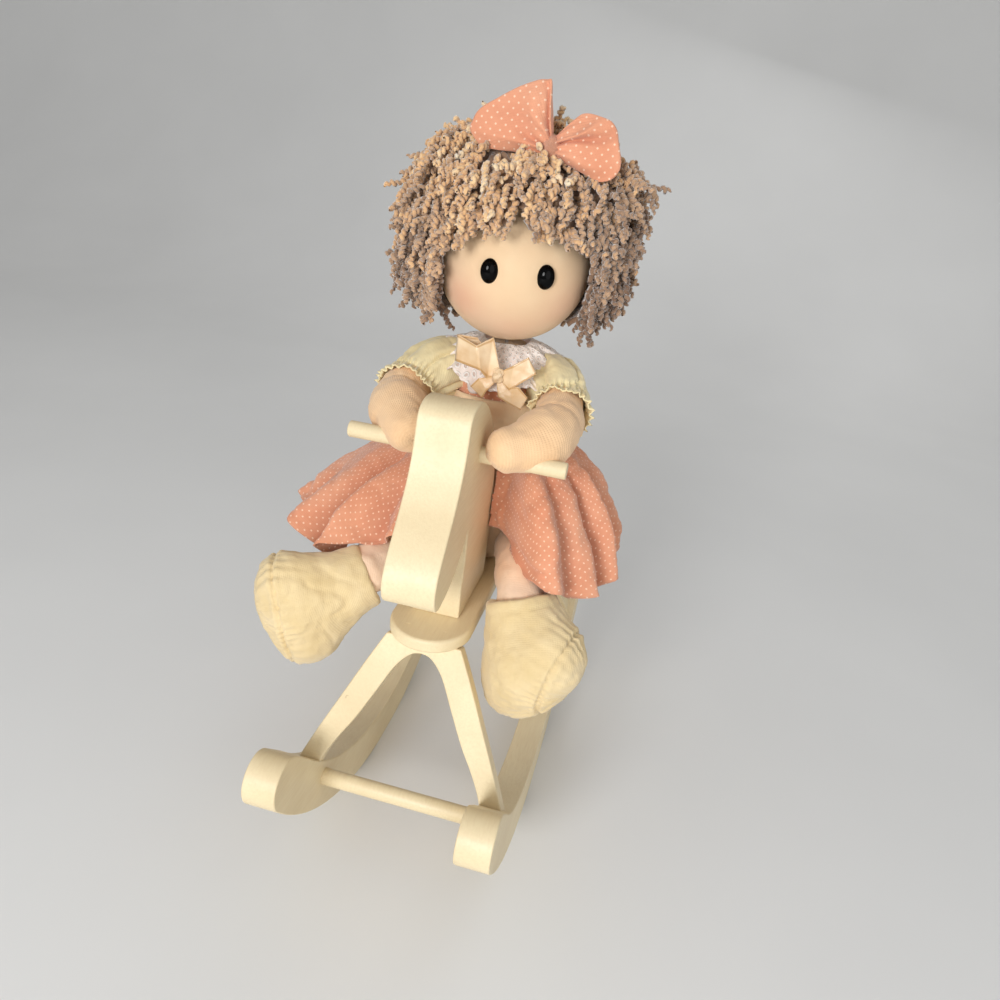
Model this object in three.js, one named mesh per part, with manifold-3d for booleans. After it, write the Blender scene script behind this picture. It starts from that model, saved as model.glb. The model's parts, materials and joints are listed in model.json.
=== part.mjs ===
// A wind-up musical rag doll astride a painted wooden rocking horse.
// Millimetres, +Z up, the horse looks along -Y and stands on its two rockers.
import * as THREE from "three";
import { mergeVertices } from "three/addons/utils/BufferGeometryUtils.js";
import Module from "manifold-3d";

const wasm = await Module();
wasm.setup();

// Driving dimensions

const GAP = 0.3; // between pieces that touch
const OVERRUN = 2; // of every cut past its wall
const WELD = 1e-4;

const ROCKER = {
  radius: 216,
  thickness: 19,
  innerSpan: 96,
  flat: 34,
  rise: 26,
  topRadius: 177,
  noseRadius: 14.5,
  noseAngle: 51.8,
  topAngle: 50,
  facets: 8,
};
const SEAT = { top: 158, width: 48, thickness: 8, halfLength: 100, cornerSteps: 9 };
const LEG = {
  setIn: 14,
  thickness: 9,
  slope: 18.8,
  topHalf: 22,
  footOut: 65,
  footIn: 51,
  footOverrun: 9.24,
  splay: 21,
};
const CROSSBAR = { radius: 5, reach: 112, height: 54, depth: 6.5, sides: 14 };
const HORSE = { thickness: 28.6, height: 131, length: 113, front: -127 };
const HANDLEBAR = { radius: 4.6, halfLength: 61.3, y: -60.4, rise: 99, sides: 16 };
const SCREW = { radius: 1.9, headRadius: 3.7, headHeight: 2.6, length: 19, sides: 10 };
const DOWEL = { radius: 2.6, length: 22, sides: 8 };

const DOLL = { x: 5, y: 19, turn: 8 };
const TORSO = { width: 68, depth: 58, height: 142, sides: 20, headLean: 9 };
const HEAD = { radius: 43.5, bottom: 146.5, turn: 15.5, columns: 20, rows: 12 };
const EYE = {
  width: 9.6,
  height: 13,
  bulge: 3.4,
  spacing: 29.7,
  postRadius: 1.6,
  postLength: 9,
  washerRadius: 5.5,
  washerThickness: 1.6,
  washerDepth: 6,
};
const HAIR = {
  width: 146,
  depth: 126,
  height: 122,
  rise: 16,
  fringe: 20,
  faceDepth: 9,
  ripple: 2.4,
  columns: 24,
  rows: 13,
};
const ARM = { shoulderRadius: 11, elbowRadius: 13, wristRadius: 15, handRadius: 16, tipRadius: 11 };
const SHOULDER = { spread: 29, drop: 12 };
const HAND = { rise: 13, leftX: 28, rightX: 29 };
const SLEEVE = { radius: 20, cuff: 13, flare: 2.8, ruffles: 8, ruffleDepth: 1.4, sides: 16, steps: 6 };
const THIGH = { radius: 14, ankleRadius: 11.5, hipOut: 22, hipUp: 17 };
const LEFT_ANKLE = { x: -45, y: -71, rise: 17 };
const RIGHT_ANKLE = { x: 51, y: -60, rise: 12 };
const BOOT = { shaftRadius: 18, footRadius: 27, toeRadius: 23, heelRadius: 23, length: 80, shaftLength: 34 };
const CLOTH = { thickness: 1.8, ease: 1 };
const BODICE = { bottom: 95.5, top: 137 };
const SASH = { bottom: 95.5, top: 111, thickness: 2 };
const SKIRT = {
  waist: 92,
  left: 97,
  right: 74,
  front: 76,
  back: 74,
  sideHem: 20,
  frontHem: 38,
  backHem: 7,
  folds: 11,
  foldDepth: 5,
  columns: 44,
  rows: 5,
};
const COLLAR = {
  neck: 14,
  side: 37,
  front: 34,
  top: 143,
  hem: 129,
  drop: 7,
  ripples: 10,
  rippleDepth: 1.1,
  columns: 30,
  rows: 2,
};
const COLLAR_BOW = { loop: 22, loopWidth: 14, thickness: 6, knot: 4.5, tail: 30, tailWidth: 9, tailTilt: 24 };
const HAIR_BOW = {
  leftLoop: 29,
  leftWidth: 40,
  leftTilt: 36,
  rightLoop: 31,
  rightWidth: 28,
  rightTilt: 6,
  thickness: 11,
  knot: 8,
};

const MOVEMENT = { width: 42, depth: 20, height: 50, middle: 88, clearance: 1.2 };
const PLATE = { thickness: 2, setIn: 0.4, bossWidth: 7 };
const COVER = { wall: 1, bearing: 3 };
const CYLINDER = { radius: 4.8, length: 20, top: -0.6, spindle: 1.1, grip: 8, forward: 3.6, sides: 20 };
const PINION = { teeth: 8, length: 3.4, addendum: 0.5, dedendum: 0.65 };
const CROWN = { teeth: 32, radius: 9, reach: 1.3, depth: 1, engagement: 0.8 };
const BARREL = { radius: 10.4, wall: 1, rise: 12, length: 7.6, sides: 20 };
const SPRING = { turns: 4, strip: 0.5, pitch: 1.3, inner: 3, width: 4.4, stepsPerTurn: 10 };
const ARBOR = { radius: 2, sides: 14 };
const KEY = { stemRadius: 3, stemLength: 9, wingWidth: 23, wingHeight: 15, thickness: 2.4, standOff: 4 };
const COMB = { thickness: 0.9, teeth: 18, slot: 0.35, clearance: 0.5, screw: 0.9, screwHead: 1, screwReach: 5 };
const TRAIN = { teeth: 18, module: 0.5, addendum: 0.4, dedendum: 0.55, thickness: 1.6, backlash: 0.15 };
const WORM = { wheelTeeth: 16, wheelRadius: 3.9, radius: 1.2, length: 5, rod: 0.6, fanWidth: 7, fanLength: 4 };
const SWAY = { tilt: 2, tipLength: 22, socketRadius: 12, socketTop: 9.5, socketHeight: 25, wireRadius: 1.3 };

// Shares of the sizes above, chosen by hand

// The horse's head and neck seen from its side: forward to back, and bottom to top.
const HORSE_OUTLINE_SHARES = [
  [0.487, 0.0],
  [0.985, 0.0],
  [1.0, 0.14],
  [0.992, 0.38],
  [0.958, 0.56],
  [0.878, 0.72],
  [0.775, 0.845],
  [0.672, 0.93],
  [0.575, 0.982],
  [0.485, 1.0],
  [0.4, 0.992],
  [0.345, 0.955],
  [0.325, 0.88],
  [0.305, 0.805],
  [0.265, 0.72],
  [0.205, 0.635],
  [0.125, 0.545],
  [0.05, 0.46],
  [0.012, 0.4],
  [0.0, 0.34],
  [0.022, 0.285],
  [0.075, 0.258],
  [0.16, 0.265],
  [0.255, 0.286],
  [0.345, 0.322],
  [0.43, 0.385],
  [0.492, 0.44],
  [0.5, 0.3],
  [0.478, 0.14],
];
// Half of a leg board from its top edge to its foot: out and down.
const LEG_OUTER_SHARES = [
  [0.0, 0.0],
  [0.2, 0.18],
  [0.45, 0.42],
  [0.72, 0.68],
  [0.93, 0.9],
  [1.0, 1.0],
];
const LEG_INNER_SHARES = [
  [1.0, 1.0],
  [0.93, 0.86],
  [0.8, 0.72],
  [0.62, 0.56],
  [0.44, 0.37],
  [0.27, 0.19],
  [0.12, 0.1],
  [0.0, 0.08],
];
// Torso from the seat to the neck: height, half width, half depth.
const TORSO_SHARES = [
  [0.0, 0.5, 0.5],
  [0.04, 0.78, 0.74],
  [0.13, 0.97, 0.94],
  [0.28, 1.0, 1.0],
  [0.5, 0.97, 0.97],
  [0.68, 0.87, 0.86],
  [0.82, 0.83, 0.76],
  [0.91, 0.72, 0.62],
  [0.965, 0.48, 0.46],
  [1.0, 0.33, 0.36],
];
// The skirt's gathered edge against the torso's full width.
const SKIRT_WAIST_SHARE = 0.84;
// How much of the skirt's fall comes late, near its hem, and how early it spreads.
const SKIRT_HANG_SHARE = 0.7;
const SKIRT_SPREAD_SHARE = 0.85;
// How late the collar falls.
const COLLAR_HANG_SHARE = 1.4;
// Arms from shoulder to finger tips: along, outwards and upwards, as shares of the reach.
const LEFT_ARM_SHARES = [
  [0.0, 0.0, 0.0],
  [0.28, 0.2, -0.02],
  [0.6, 0.22, -0.08],
  [0.86, 0.08, -0.03],
  [1.0, 0.0, -0.02],
];
const RIGHT_ARM_SHARES = [
  [0.0, 0.0, 0.02],
  [0.3, 0.2, 0.04],
  [0.62, 0.27, 0.03],
  [0.86, 0.16, 0.0],
  [1.0, 0.0, -0.03],
];
const THIGH_SHARES = [
  [0.0, 0.0, 0.0],
  [0.5, 0.06, 0.08],
  [1.0, 0.0, 0.0],
];
// Directions of the boots, as shares of their lengths: out, forward and up.
const LEFT_SHAFT_SHARES = [0.98, 0.6, -0.55];
const LEFT_TOE_SHARES = [0.12, 0.05, 0.24];
const LEFT_HEEL_SHARES = [-0.1, -0.02, -0.24];
const RIGHT_SHAFT_SHARES = [0.24, 0.38, -0.86];
const RIGHT_TOE_SHARES = [0.1, 0.12, 0.1];
const RIGHT_HEEL_SHARES = [-0.1, -0.02, -0.16];
// Where a sleeve starts and ends along its arm.
const SLEEVE_ENDS_SHARES = [0.08, 0.54];
// How far the skirt's corners stand out of its oval: at the front across and ahead, and at the back.
const SKIRT_CORNER_SHARES = { across: 0.45, ahead: 0.12, back: -0.12 };
// The knot of the hair bow from the middle of the head, as shares of the head's radius.
const BOW_KNOT_SHARES = [0.43, -0.72, 1.42];
// The room for the chin and neck under the hair: its half width and its top, as shares of the head's radius.
const CHIN_ROOM_SHARES = { half: 0.8, top: -0.55 };
// Along a bow's loop: how far out, how wide and how thick it is.
const LOOP_SHARES = [
  [0.0, 0.2, 0.72],
  [0.3, 0.52, 0.95],
  [0.62, 0.86, 1.0],
  [0.88, 1.0, 0.8],
  [1.0, 0.94, 0.55],
];
// A bow's knot: how wide the hair bow's is and how deep the collar bow's is, as shares of its radius.
const KNOT_SHARES = { hairWidth: 0.75, collarDepth: 0.8 };
// How long a limb's round end is, as a share of its radius.
const DOME_SHARES = { limb: 0.8, shaft: 0.45, foot: 0.75 };
// The waves of the hair's surface: how many round it, and how fast they change up it.
const HAIR_WAVE_SHARES = { round: 7, up: 5 };
// A gear tooth: half its width at the root and at the tip, as shares of the pitch.
const TOOTH_SHARES = { root: 0.27, tip: 0.16 };
// The places of the neck screws along the horse's head.
const NECK_SCREW_SHARES = [0.58, 0.86];

// Screws of the comb along its length, and the turn from one pin of the cylinder to the next, in degrees.
const COMB_SCREW_SHARES = [0.22, 0.78];
const PIN_TURN = 137.5;

// Materials

function paint(color, roughness, metalness = 0) {
  return new THREE.MeshStandardMaterial({ color, roughness, metalness });
}
const cream = paint(0xefe0bd, 0.5);
const steel = paint(0xb8b8b8, 0.35, 1);
const brass = paint(0xc9a24c, 0.35, 1);
const beech = paint(0xd8b98a, 0.6);
const skin = paint(0xf2cfa8, 0.9);
const sock = paint(0xf0dcd0, 0.9);
const salmon = paint(0xe59a80, 0.9);
const muslin = paint(0xeedfae, 0.95);
const lace = paint(0xf6f0e6, 0.9);
const satin = paint(0xddb58a, 0.45);
const yarn = paint(0x9c8b7a, 1);
const black = paint(0x080808, 0.1);
const plastic = paint(0xe8e6e0, 0.4);

// Solids from geometry

const X = new THREE.Vector3(1, 0, 0);
const Z = new THREE.Vector3(0, 0, 1);

function place(x, y, z) {
  return new THREE.Vector3(x, y, z);
}

function solid(geometry) {
  const bare = new THREE.BufferGeometry();
  bare.setAttribute("position", geometry.getAttribute("position").clone());
  if (geometry.index) bare.setIndex(geometry.index.clone());
  const merged = mergeVertices(bare, WELD);
  const corners = merged.index.array;
  const kept = [];
  for (let i = 0; i < corners.length; i += 3) {
    const [a, b, c] = [corners[i], corners[i + 1], corners[i + 2]];
    if (a !== b && b !== c && c !== a) kept.push(a, b, c);
  }
  const make = (list) =>
    new wasm.Manifold(
      new wasm.Mesh({
        numProp: 3,
        vertProperties: merged.attributes.position.array,
        triVerts: new Uint32Array(list),
      }),
    );
  const made = make(kept);
  return made.volume() < 0 ? make(kept.reverse()) : made;
}

function box(x0, x1, y0, y1, z0, z1) {
  const block = new THREE.BoxGeometry(x1 - x0, y1 - y0, z1 - z0);
  return solid(block.translate((x0 + x1) / 2, (y0 + y1) / 2, (z0 + z1) / 2));
}

// A round bar from one point to another, with its own radius at each end.
function bar(from, to, radius, sides, endRadius = radius) {
  const span = to.clone().sub(from);
  const rod = new THREE.CylinderGeometry(endRadius, radius, span.length(), sides);
  const turn = new THREE.Quaternion().setFromUnitVectors(new THREE.Vector3(0, 1, 0), span.normalize());
  rod.applyQuaternion(turn);
  const middle = from.clone().add(to).multiplyScalar(0.5);
  return solid(rod.translate(middle.x, middle.y, middle.z));
}

// An outline in the plane of Y and Z, drawn out along X.
function slab(outline, x0, x1) {
  const shape = new THREE.Shape(outline.map(([y, z]) => new THREE.Vector2(y, z)));
  const drawn = new THREE.ExtrudeGeometry(shape, { depth: x1 - x0, bevelEnabled: false, steps: 1 });
  const turn = new THREE.Matrix4().makeBasis(new THREE.Vector3(0, 1, 0), Z, X);
  return solid(drawn.applyMatrix4(turn).translate(x0, 0, 0));
}

// An outline in the plane of X and Y, drawn up along Z.
function column(outline, z0, z1) {
  const shape = new THREE.Shape(outline.map(([x, y]) => new THREE.Vector2(x, y)));
  const drawn = new THREE.ExtrudeGeometry(shape, { depth: z1 - z0, bevelEnabled: false, steps: 1 });
  return solid(drawn.translate(0, 0, z0));
}

// An outline in the plane of X and Z, drawn out along Y.
function alongY(outline, y0, y1) {
  const shape = new THREE.Shape(outline.map(([x, z]) => new THREE.Vector2(x, z)));
  const drawn = new THREE.ExtrudeGeometry(shape, { depth: y1 - y0, bevelEnabled: false, steps: 1 });
  const turn = new THREE.Matrix4().makeBasis(X, Z, new THREE.Vector3(0, -1, 0));
  return solid(drawn.applyMatrix4(turn).translate(0, y1, 0));
}

// The corners of a circle about the origin.
function circle(radius, sides) {
  return Array.from({ length: sides }, (_, i) => {
    const angle = (2 * Math.PI * i) / sides;
    return [radius * Math.cos(angle), radius * Math.sin(angle)];
  });
}

// A skin over rings of points. The ends are closed by fans, or joined to each other.
function skinOver(rings, joined = false) {
  const points = rings.flat();
  const count = rings[0].length;
  const index = [];
  const last = joined ? rings.length : rings.length - 1;
  for (let i = 0; i < last; i++) {
    const low = i * count;
    const high = ((i + 1) % rings.length) * count;
    for (let j = 0; j < count; j++) {
      const k = (j + 1) % count;
      index.push(low + j, low + k, high + k, low + j, high + k, high + j);
    }
  }
  if (!joined) {
    const centre = (ring) => ring.reduce((sum, p) => sum.add(p), place(0, 0, 0)).divideScalar(count);
    const bottom = points.push(centre(rings[0])) - 1;
    const top = points.push(centre(rings[rings.length - 1])) - 1;
    const high = (rings.length - 1) * count;
    for (let j = 0; j < count; j++) {
      const k = (j + 1) % count;
      index.push(bottom, k, j, top, high + j, high + k);
    }
  }
  const geometry = new THREE.BufferGeometry().setFromPoints(points);
  geometry.setIndex(index);
  return solid(geometry);
}

// A stuffed limb along a smooth path, with a round end at each end.
function limb(path, radii, { sides = 12, steps = 6, grow = 0, dome = 0.8 } = {}) {
  const curve = new THREE.CatmullRomCurve3(path);
  const radiusAt = (t) => {
    const at = t * (radii.length - 1);
    const i = Math.min(Math.floor(at), radii.length - 2);
    const ease = THREE.MathUtils.smoothstep(at - i, 0, 1);
    return radii[i] + (radii[i + 1] - radii[i]) * ease + grow;
  };
  const ring = (centre, along, radius) => {
    const side = new THREE.Vector3().crossVectors(along, Z).normalize();
    const up = new THREE.Vector3().crossVectors(side, along).normalize();
    return Array.from({ length: sides }, (_, j) => {
      const angle = (2 * Math.PI * j) / sides;
      const out = side.clone().multiplyScalar(radius * Math.cos(angle));
      return centre.clone().add(out).add(up.clone().multiplyScalar(radius * Math.sin(angle)));
    });
  };
  const cap = (t, sign) =>
    [0.95, 0.72, 0.38].map((share) => {
      const radius = radiusAt(t);
      const along = curve.getTangentAt(t);
      const step = along.clone().multiplyScalar(sign * radius * dome * share);
      return ring(curve.getPointAt(t).add(step), along, radius * Math.sqrt(1 - share * share));
    });
  const rings = [...cap(0, -1)];
  for (let i = 0; i <= steps; i++) {
    const t = i / steps;
    rings.push(ring(curve.getPointAt(t), curve.getTangentAt(t), radiusAt(t)));
  }
  rings.push(...cap(1, 1).reverse());
  return skinOver(rings);
}

// Points between two ends, given as shares of their distance along, outwards and upwards.
function route(from, to, shares, outward) {
  const span = to.clone().sub(from);
  const length = span.length();
  return shares.map(([along, out, up]) =>
    from
      .clone()
      .add(span.clone().multiplyScalar(along))
      .add(place(outward * out * length, 0, up * length)),
  );
}

function ellipsoid(centre, rx, ry, rz, columns = 20, rows = 12, ripple = null) {
  const ball = new THREE.SphereGeometry(1, columns, rows).rotateX(Math.PI / 2);
  const at = ball.getAttribute("position");
  for (let i = 0; i < at.count; i++) {
    const p = place(at.getX(i), at.getY(i), at.getZ(i));
    const swell = ripple ? ripple(p) : 0;
    const q = place(p.x * (rx + swell), p.y * (ry + swell), p.z * (rz + swell)).add(centre);
    at.setXYZ(i, q.x, q.y, q.z);
  }
  return solid(ball);
}

// A hanging cloth: a sheet from an inner ring to a hem, both given as functions of the angle.
function drape(columns, rows, thickness, point) {
  const sheet = (offset) =>
    Array.from({ length: rows + 1 }, (_, i) =>
      Array.from({ length: columns }, (_, j) => point((2 * Math.PI * j) / columns, i / rows, offset)),
    );
  return skinOver([...sheet(thickness), ...sheet(0).reverse()], true);
}

function unite(...solids) {
  return solids.reduce((sum, next) => sum.add(next));
}

function less(whole, ...cuts) {
  return cuts.reduce((rest, cut) => rest.subtract(cut), whole);
}

function biggest(made) {
  return made.decompose().sort((a, b) => b.volume() - a.volume())[0];
}

function turned(made, angle, axis, about) {
  const matrix = new THREE.Matrix4().makeTranslation(about.x, about.y, about.z);
  matrix.multiply(new THREE.Matrix4().makeRotationAxis(axis, THREE.MathUtils.degToRad(angle)));
  matrix.multiply(new THREE.Matrix4().makeTranslation(-about.x, -about.y, -about.z));
  return made.transform(matrix.elements);
}

const group = new THREE.Group();

function add(name, made, material) {
  const mesh = made.getMesh();
  const points = new Float32Array(mesh.numVert * 3);
  for (let i = 0; i < mesh.numVert; i++) {
    points.set(mesh.vertProperties.subarray(i * mesh.numProp, i * mesh.numProp + 3), i * 3);
  }
  const geometry = new THREE.BufferGeometry();
  geometry.setAttribute("position", new THREE.BufferAttribute(points, 3));
  geometry.setIndex(new THREE.BufferAttribute(mesh.triVerts, 1));
  const piece = new THREE.Mesh(geometry, material);
  piece.name = name;
  group.add(piece);
  return made;
}

// Rockers

const degrees = THREE.MathUtils.degToRad;
const flatAngle = Math.asin(ROCKER.flat / 2 / ROCKER.radius);
const rockCentre = ROCKER.radius * Math.cos(flatAngle);

function rockerOutline(grow = 0) {
  const nose = degrees(ROCKER.noseAngle);
  const top = degrees(ROCKER.topAngle);
  const radius = ROCKER.radius + grow;
  const topRadius = ROCKER.topRadius - grow;
  const noseRadius = ROCKER.noseRadius + grow;
  const topCentre = ROCKER.rise + ROCKER.topRadius;
  const half = [];
  for (let i = 0; i < ROCKER.facets; i++) {
    const angle = flatAngle + ((nose - flatAngle) * i) / (ROCKER.facets - 1);
    half.push([radius * Math.sin(angle), rockCentre - radius * Math.cos(angle)]);
  }
  const reach = ROCKER.radius - ROCKER.noseRadius;
  const knob = [reach * Math.sin(nose), rockCentre - reach * Math.cos(nose)];
  for (let i = 1; i <= ROCKER.facets; i++) {
    const angle = nose - Math.PI / 2 + (Math.PI * i) / ROCKER.facets;
    half.push([knob[0] + noseRadius * Math.cos(angle), knob[1] + noseRadius * Math.sin(angle)]);
  }
  for (let i = 0; i < ROCKER.facets; i++) {
    const angle = top * (1 - (i + 0.5) / ROCKER.facets);
    half.push([topRadius * Math.sin(angle), topCentre - topRadius * Math.cos(angle)]);
  }
  return [...half, ...half.map(([y, z]) => [-y, z]).reverse()];
}

function rockerSolid(side, grow = 0) {
  const inner = ROCKER.innerSpan / 2 - grow;
  const outer = ROCKER.innerSpan / 2 + ROCKER.thickness + grow;
  const outline = rockerOutline(grow);
  return side < 0 ? slab(outline, -outer, -inner) : slab(outline, inner, outer);
}

const crossbarEnd = ROCKER.innerSpan / 2 + CROSSBAR.depth;

function crossbar(end, grow = 0) {
  const y = end * CROSSBAR.reach;
  const from = place(-crossbarEnd - grow, y, CROSSBAR.height);
  const to = place(crossbarEnd + grow, y, CROSSBAR.height);
  return bar(from, to, CROSSBAR.radius + grow, CROSSBAR.sides);
}

// Leg boards: each is drawn upright and then sloped about the seat's underside.

const legTop = SEAT.top - SEAT.thickness - GAP;
const legY = SEAT.halfLength - LEG.setIn;

// How far down its slope a leg meets the rocker's top curve.
function legReach() {
  const slope = degrees(LEG.slope);
  const above = legTop - ROCKER.rise - ROCKER.topRadius;
  const half = legY * Math.sin(slope) - above * Math.cos(slope);
  return Math.sqrt(half ** 2 + ROCKER.topRadius ** 2 - legY ** 2 - above ** 2) - half;
}

const legFoot = legReach();
const legLength = legFoot + LEG.footOverrun;

function legPoint(end) {
  return place(0, end * legY, legTop);
}

function slopeLeg(made, end) {
  return turned(made, end * LEG.slope, X, legPoint(end));
}

function legBoard(end) {
  const outer = LEG_OUTER_SHARES.map(([out, down]) => [
    LEG.topHalf + (LEG.footOut - LEG.topHalf) * out,
    legTop - legLength * down,
  ]);
  const inner = LEG_INNER_SHARES.map(([out, down]) => [LEG.footIn * out, legTop - legLength * down]);
  const half = [...outer, ...inner];
  const raised = [LEG.topHalf, legTop + LEG.thickness];
  const outline = [...half, ...half.map(([x, z]) => [-x, z]).reverse()];
  outline.unshift(raised);
  outline.push([-raised[0], raised[1]]);
  const clean = outline.filter((p, i) => i === 0 || p[0] !== outline[i - 1][0] || p[1] !== outline[i - 1][1]);
  const middle = end * legY;
  return slopeLeg(alongY(clean, middle - LEG.thickness / 2, middle + LEG.thickness / 2), end);
}

const footMiddle = (LEG.footOut + LEG.footIn) / 2;
const screwX = LEG.topHalf / 2;

function legScrew(end, side, grow = 0) {
  const x = side * screwX;
  const y = end * legY;
  const headTop = place(x, y, SEAT.top - GAP + grow * OVERRUN);
  const headFoot = place(x, y, SEAT.top - GAP - SCREW.headHeight);
  const shank = bar(
    place(x, y, SEAT.top - SCREW.length),
    place(x, y, SEAT.top - SCREW.headHeight),
    SCREW.radius + grow,
    SCREW.sides,
  );
  const head = bar(headFoot, headTop, SCREW.headRadius + grow, SCREW.sides);
  return slopeLeg(unite(shank, head), end);
}

function footDowel(end, side, grow = 0) {
  const splay = degrees(LEG.splay);
  const x = footMiddle - LEG.footOverrun * Math.tan(splay);
  const middle = place(side * x, end * legY, legTop - legFoot);
  const half = place(side * Math.sin(splay), 0, -Math.cos(splay)).multiplyScalar(DOWEL.length / 2 + grow);
  const rod = bar(middle.clone().sub(half), middle.clone().add(half), DOWEL.radius + grow, DOWEL.sides);
  return slopeLeg(rod, end);
}

// Seat board

function seatOutline(grow = 0) {
  const radius = SEAT.width / 2 + grow;
  const centre = SEAT.halfLength - SEAT.width / 2;
  const end = Array.from({ length: SEAT.cornerSteps + 1 }, (_, i) => {
    const angle = (Math.PI * i) / SEAT.cornerSteps;
    return [radius * Math.cos(angle), centre + radius * Math.sin(angle)];
  });
  return [...end, ...end.map(([x, y]) => [-x, -y])];
}

const neckScrewYs = NECK_SCREW_SHARES.map((share) => HORSE.front + HORSE.length * share);

function neckScrew(y, grow = 0) {
  const under = SEAT.top - SEAT.thickness;
  const headFoot = place(0, y, under + GAP - grow * OVERRUN);
  const headTop = place(0, y, under + GAP + SCREW.headHeight);
  const shank = bar(headTop, place(0, y, under + SCREW.length + grow), SCREW.radius + grow, SCREW.sides);
  const head = bar(headFoot, headTop, SCREW.headRadius + grow, SCREW.sides);
  return unite(shank, head);
}

// Horse's head and neck, and the bar through it

const horseOutline = HORSE_OUTLINE_SHARES.map(([forward, up]) => [
  HORSE.front + HORSE.length * forward,
  SEAT.top + GAP + HORSE.height * up,
]);

const handlebarZ = SEAT.top + HANDLEBAR.rise;

function handlebar(grow = 0) {
  const from = place(-HANDLEBAR.halfLength - grow, HANDLEBAR.y, handlebarZ);
  const to = place(HANDLEBAR.halfLength + grow, HANDLEBAR.y, handlebarZ);
  return bar(from, to, HANDLEBAR.radius + grow, HANDLEBAR.sides);
}

const horseHalf = HORSE.thickness / 2;
const horseBlock = slab(horseOutline, -horseHalf, horseHalf);
const horseRoom = slab(horseOutline, -horseHalf - GAP, horseHalf + GAP);

function buildFrame() {
  const dowels = [];
  const screws = [];
  for (const end of [-1, 1]) {
    for (const side of [-1, 1]) {
      dowels.push({ end, side });
      screws.push({ end, side });
    }
  }
  const seatTop = SEAT.top;
  const seat = column(seatOutline(), seatTop - SEAT.thickness, seatTop);
  const seatCuts = screws.map(({ end, side }) => legScrew(end, side, GAP));
  const neckCuts = neckScrewYs.map((y) => neckScrew(y, GAP));
  add("seat_board", less(seat, ...seatCuts, ...neckCuts), cream);
  add("horse_head", less(horseBlock, handlebar(GAP), ...neckCuts), cream);
  add("handlebar", handlebar(), cream);
  neckScrewYs.forEach((y, i) => add("neck_screw_" + (i + 1), neckScrew(y), steel));
  const belowSeat = box(
    -ROCKER.innerSpan,
    ROCKER.innerSpan,
    -ROCKER.radius,
    ROCKER.radius,
    0,
    SEAT.top - SEAT.thickness - GAP,
  );
  for (const end of [-1, 1]) {
    const mine = dowels.filter((d) => d.end === end);
    const cuts = mine.flatMap(({ side }) => [footDowel(end, side, GAP), legScrew(end, side, GAP)]);
    const room = [rockerSolid(-1, GAP), rockerSolid(1, GAP)];
    const board = less(legBoard(end).intersect(belowSeat), ...room, ...cuts);
    add(end < 0 ? "front_legs" : "rear_legs", biggest(board), cream);
    add(end < 0 ? "front_crossbar" : "rear_crossbar", crossbar(end), cream);
  }
  for (const side of [-1, 1]) {
    const cuts = dowels.filter((d) => d.side === side).map(({ end }) => footDowel(end, side, GAP));
    const rocker = less(rockerSolid(side), crossbar(-1, GAP), crossbar(1, GAP), ...cuts);
    add(side < 0 ? "rocker_left" : "rocker_right", rocker, cream);
  }
  dowels.forEach(({ end, side }, i) => add("foot_dowel_" + (i + 1), footDowel(end, side), beech));
  screws.forEach(({ end, side }, i) => add("leg_screw_" + (i + 1), legScrew(end, side), steel));
}

// Places on the doll

const seatAt = SEAT.top + GAP;
const dollFoot = place(DOLL.x, DOLL.y, seatAt);
const neckTop = place(DOLL.x, DOLL.y, seatAt + TORSO.height);
const headCentre = place(DOLL.x, DOLL.y - TORSO.headLean, SEAT.top + HEAD.bottom + HEAD.radius);
const leftShoulder = place(DOLL.x - SHOULDER.spread, DOLL.y, neckTop.z - SHOULDER.drop);
const rightShoulder = place(DOLL.x + SHOULDER.spread, DOLL.y, neckTop.z - SHOULDER.drop);
const leftHand = place(-HAND.leftX, HANDLEBAR.y, handlebarZ + HAND.rise);
const rightHand = place(HAND.rightX, HANDLEBAR.y, handlebarZ + HAND.rise);

function torsoSolid(grow = 0) {
  const sides = TORSO.sides;
  const rings = TORSO_SHARES.map(([up, wide, deep]) =>
    Array.from({ length: sides }, (_, j) => {
      const angle = (2 * Math.PI * j) / sides;
      const x = ((TORSO.width / 2) * wide + grow) * Math.cos(angle);
      const y = ((TORSO.depth / 2) * deep + grow) * Math.sin(angle);
      const lift = up === 0 ? 0 : up === 1 ? grow : 0;
      return place(x, y, TORSO.height * up + lift).add(dollFoot);
    }),
  );
  return turned(skinOver(rings), DOLL.turn, Z, dollFoot);
}

// A band of cloth round the torso, between two heights above the seat.
function torsoBand(bottom, top, inner, outer) {
  const wide = TORSO.width;
  const layer = less(torsoSolid(outer), torsoSolid(inner));
  const x = DOLL.x;
  const y = DOLL.y;
  return layer.intersect(box(x - wide, x + wide, y - wide, y + wide, seatAt + bottom, seatAt + top));
}

function armSolid(side, grow = 0) {
  const from = side < 0 ? leftShoulder : rightShoulder;
  const to = side < 0 ? leftHand : rightHand;
  const path = route(from, to, side < 0 ? LEFT_ARM_SHARES : RIGHT_ARM_SHARES, side);
  const radii = [ARM.shoulderRadius, ARM.elbowRadius, ARM.wristRadius, ARM.handRadius, ARM.tipRadius];
  return limb(path, radii, { grow });
}

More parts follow.
